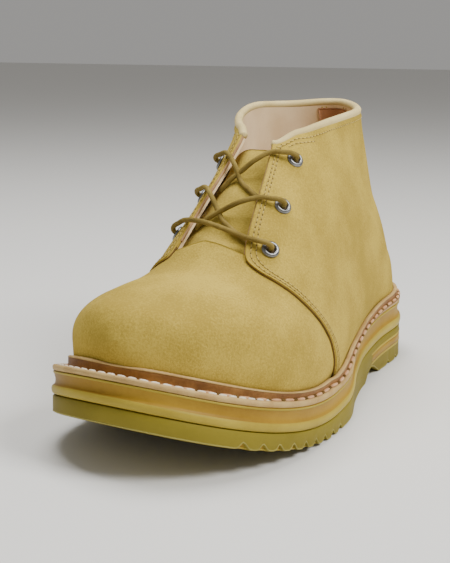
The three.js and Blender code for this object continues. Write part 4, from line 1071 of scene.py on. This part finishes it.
# Run from under one edge of the throat, over the tongue, to the next eyelet across.
def laceRun(low, side, lift):
    start, end = eyeletSections[-side][low], eyeletSections[side][low + 1]
    edgeStart, edgeEnd = throatGap(start, -side), throatGap(end, side)
    onTongue = lambda out: laceRadius + 0.15 - wall - 0.3 - tongueShape["sink"] * (1 - (out / 26) ** 2)
    at = lambda share: start + (end - start) * share
    points = [place(at(0.0), -side, edgeStart + 1.5, onTongue(edgeStart + 1.5) - 0.6),
              place(at(0.08), -side, edgeStart - 1.0, onTongue(edgeStart - 1)),
              place(at(0.24), -side, edgeStart * 0.5, onTongue(edgeStart * 0.5) + lift * 0.5),
              place(at(0.45), side, 0.01, onTongue(0) + lift),
              place(at(0.68), side, edgeEnd * 0.55, (onTongue(0) + lift + onQuarter) / 2 + 0.6)]
    for i, (o, r) in enumerate(intoEyelet(edgeEnd)):
        points.append(place(at(min(0.9 + i * 0.035, 1)), side, o, r))
    return spline(points, 150)


for low, name in ((0, "lace_cross_lower"), (1, "lace_cross_upper")):
    under = tube("laceUnder" + name[11:].title(), laceRun(low, -1, 0.0), laceRadius, 14)
    put(under, "lace_cord", "laceCord", name)
    over = tube("laceOver" + name[11:].title(), laceRun(low, 1, 2.4), laceRadius, 14)
    put(over, "lace_cord", "laceCord")
print("laces made")

# Floor, light, camera
floorMesh = bpy.data.meshes.new("floor")
floorMesh.from_pydata([(-6, -6, 0), (6, -6, 0), (6, 6, 0), (-6, 6, 0)], [], [(0, 1, 2, 3)])
floor = link("floor", floorMesh)
floorPaint = bpy.data.materials.new("floorPaint")
floorPaint.use_nodes = True
floorShader = floorPaint.node_tree.nodes["Principled BSDF"]
floorShader.inputs["Base Color"].default_value = (0.72, 0.71, 0.68, 1)
floorShader.inputs["Roughness"].default_value = 0.9
floor.data.materials.append(floorPaint)

world = bpy.data.worlds.new("studio")
bpy.context.scene.world = world
world.use_nodes = True
background = world.node_tree.nodes["Background"]
background.inputs["Color"].default_value = (1.0, 0.98, 0.95, 1)
background.inputs["Strength"].default_value = 0.34


# Lamp in metres and watts, turned towards the boot's middle
def areaLight(name, stand, size, power):
    data = bpy.data.lights.new(name, "AREA")
    data.energy = power
    data.size = size
    lamp = link(name, data)
    lamp.location = stand
    x, y, z = np.array((0, 0, 0.06)) - np.array(stand)
    lamp.rotation_euler = (math.pi / 2 + math.atan2(z, math.hypot(x, y)), 0, math.atan2(-x, y))


areaLight("key", (0.9, -0.05, 1.05), 0.5, 19)
areaLight("top", (-0.15, 0.05, 1.35), 0.7, 18)
areaLight("fill", (-0.9, -1.0, 0.5), 1.0, 1.0)

cameraData = bpy.data.cameras.new("camera")
cameraData.sensor_fit = "VERTICAL"
cameraData.sensor_height = sensor = 36
cameraZoom = 1.5  # the photograph holds a pair; the picture closes in on the one boot
photoWidth, photoHeight, focal = 450, 563, 756  # in pixels of the photograph
bootAt = (294, 352)  # the place in the photograph that the picture closes in on
cameraData.lens = focal / photoHeight * sensor * cameraZoom
cameraData.shift_x = (bootAt[0] - photoWidth / 2) / photoHeight * cameraZoom
cameraData.shift_y = -(bootAt[1] - photoHeight / 2) / photoHeight * cameraZoom
camera = link("camera", cameraData)
camera.location = toFrame((266.7, -569.6, 202.8))[0]
downwards, turned = 7.1, 32.5  # degrees below the level, and round from the toe's own view
camera.rotation_euler = (math.radians(90 - downwards), 0, math.radians(turned))
bpy.context.scene.camera = camera
print("stage made")
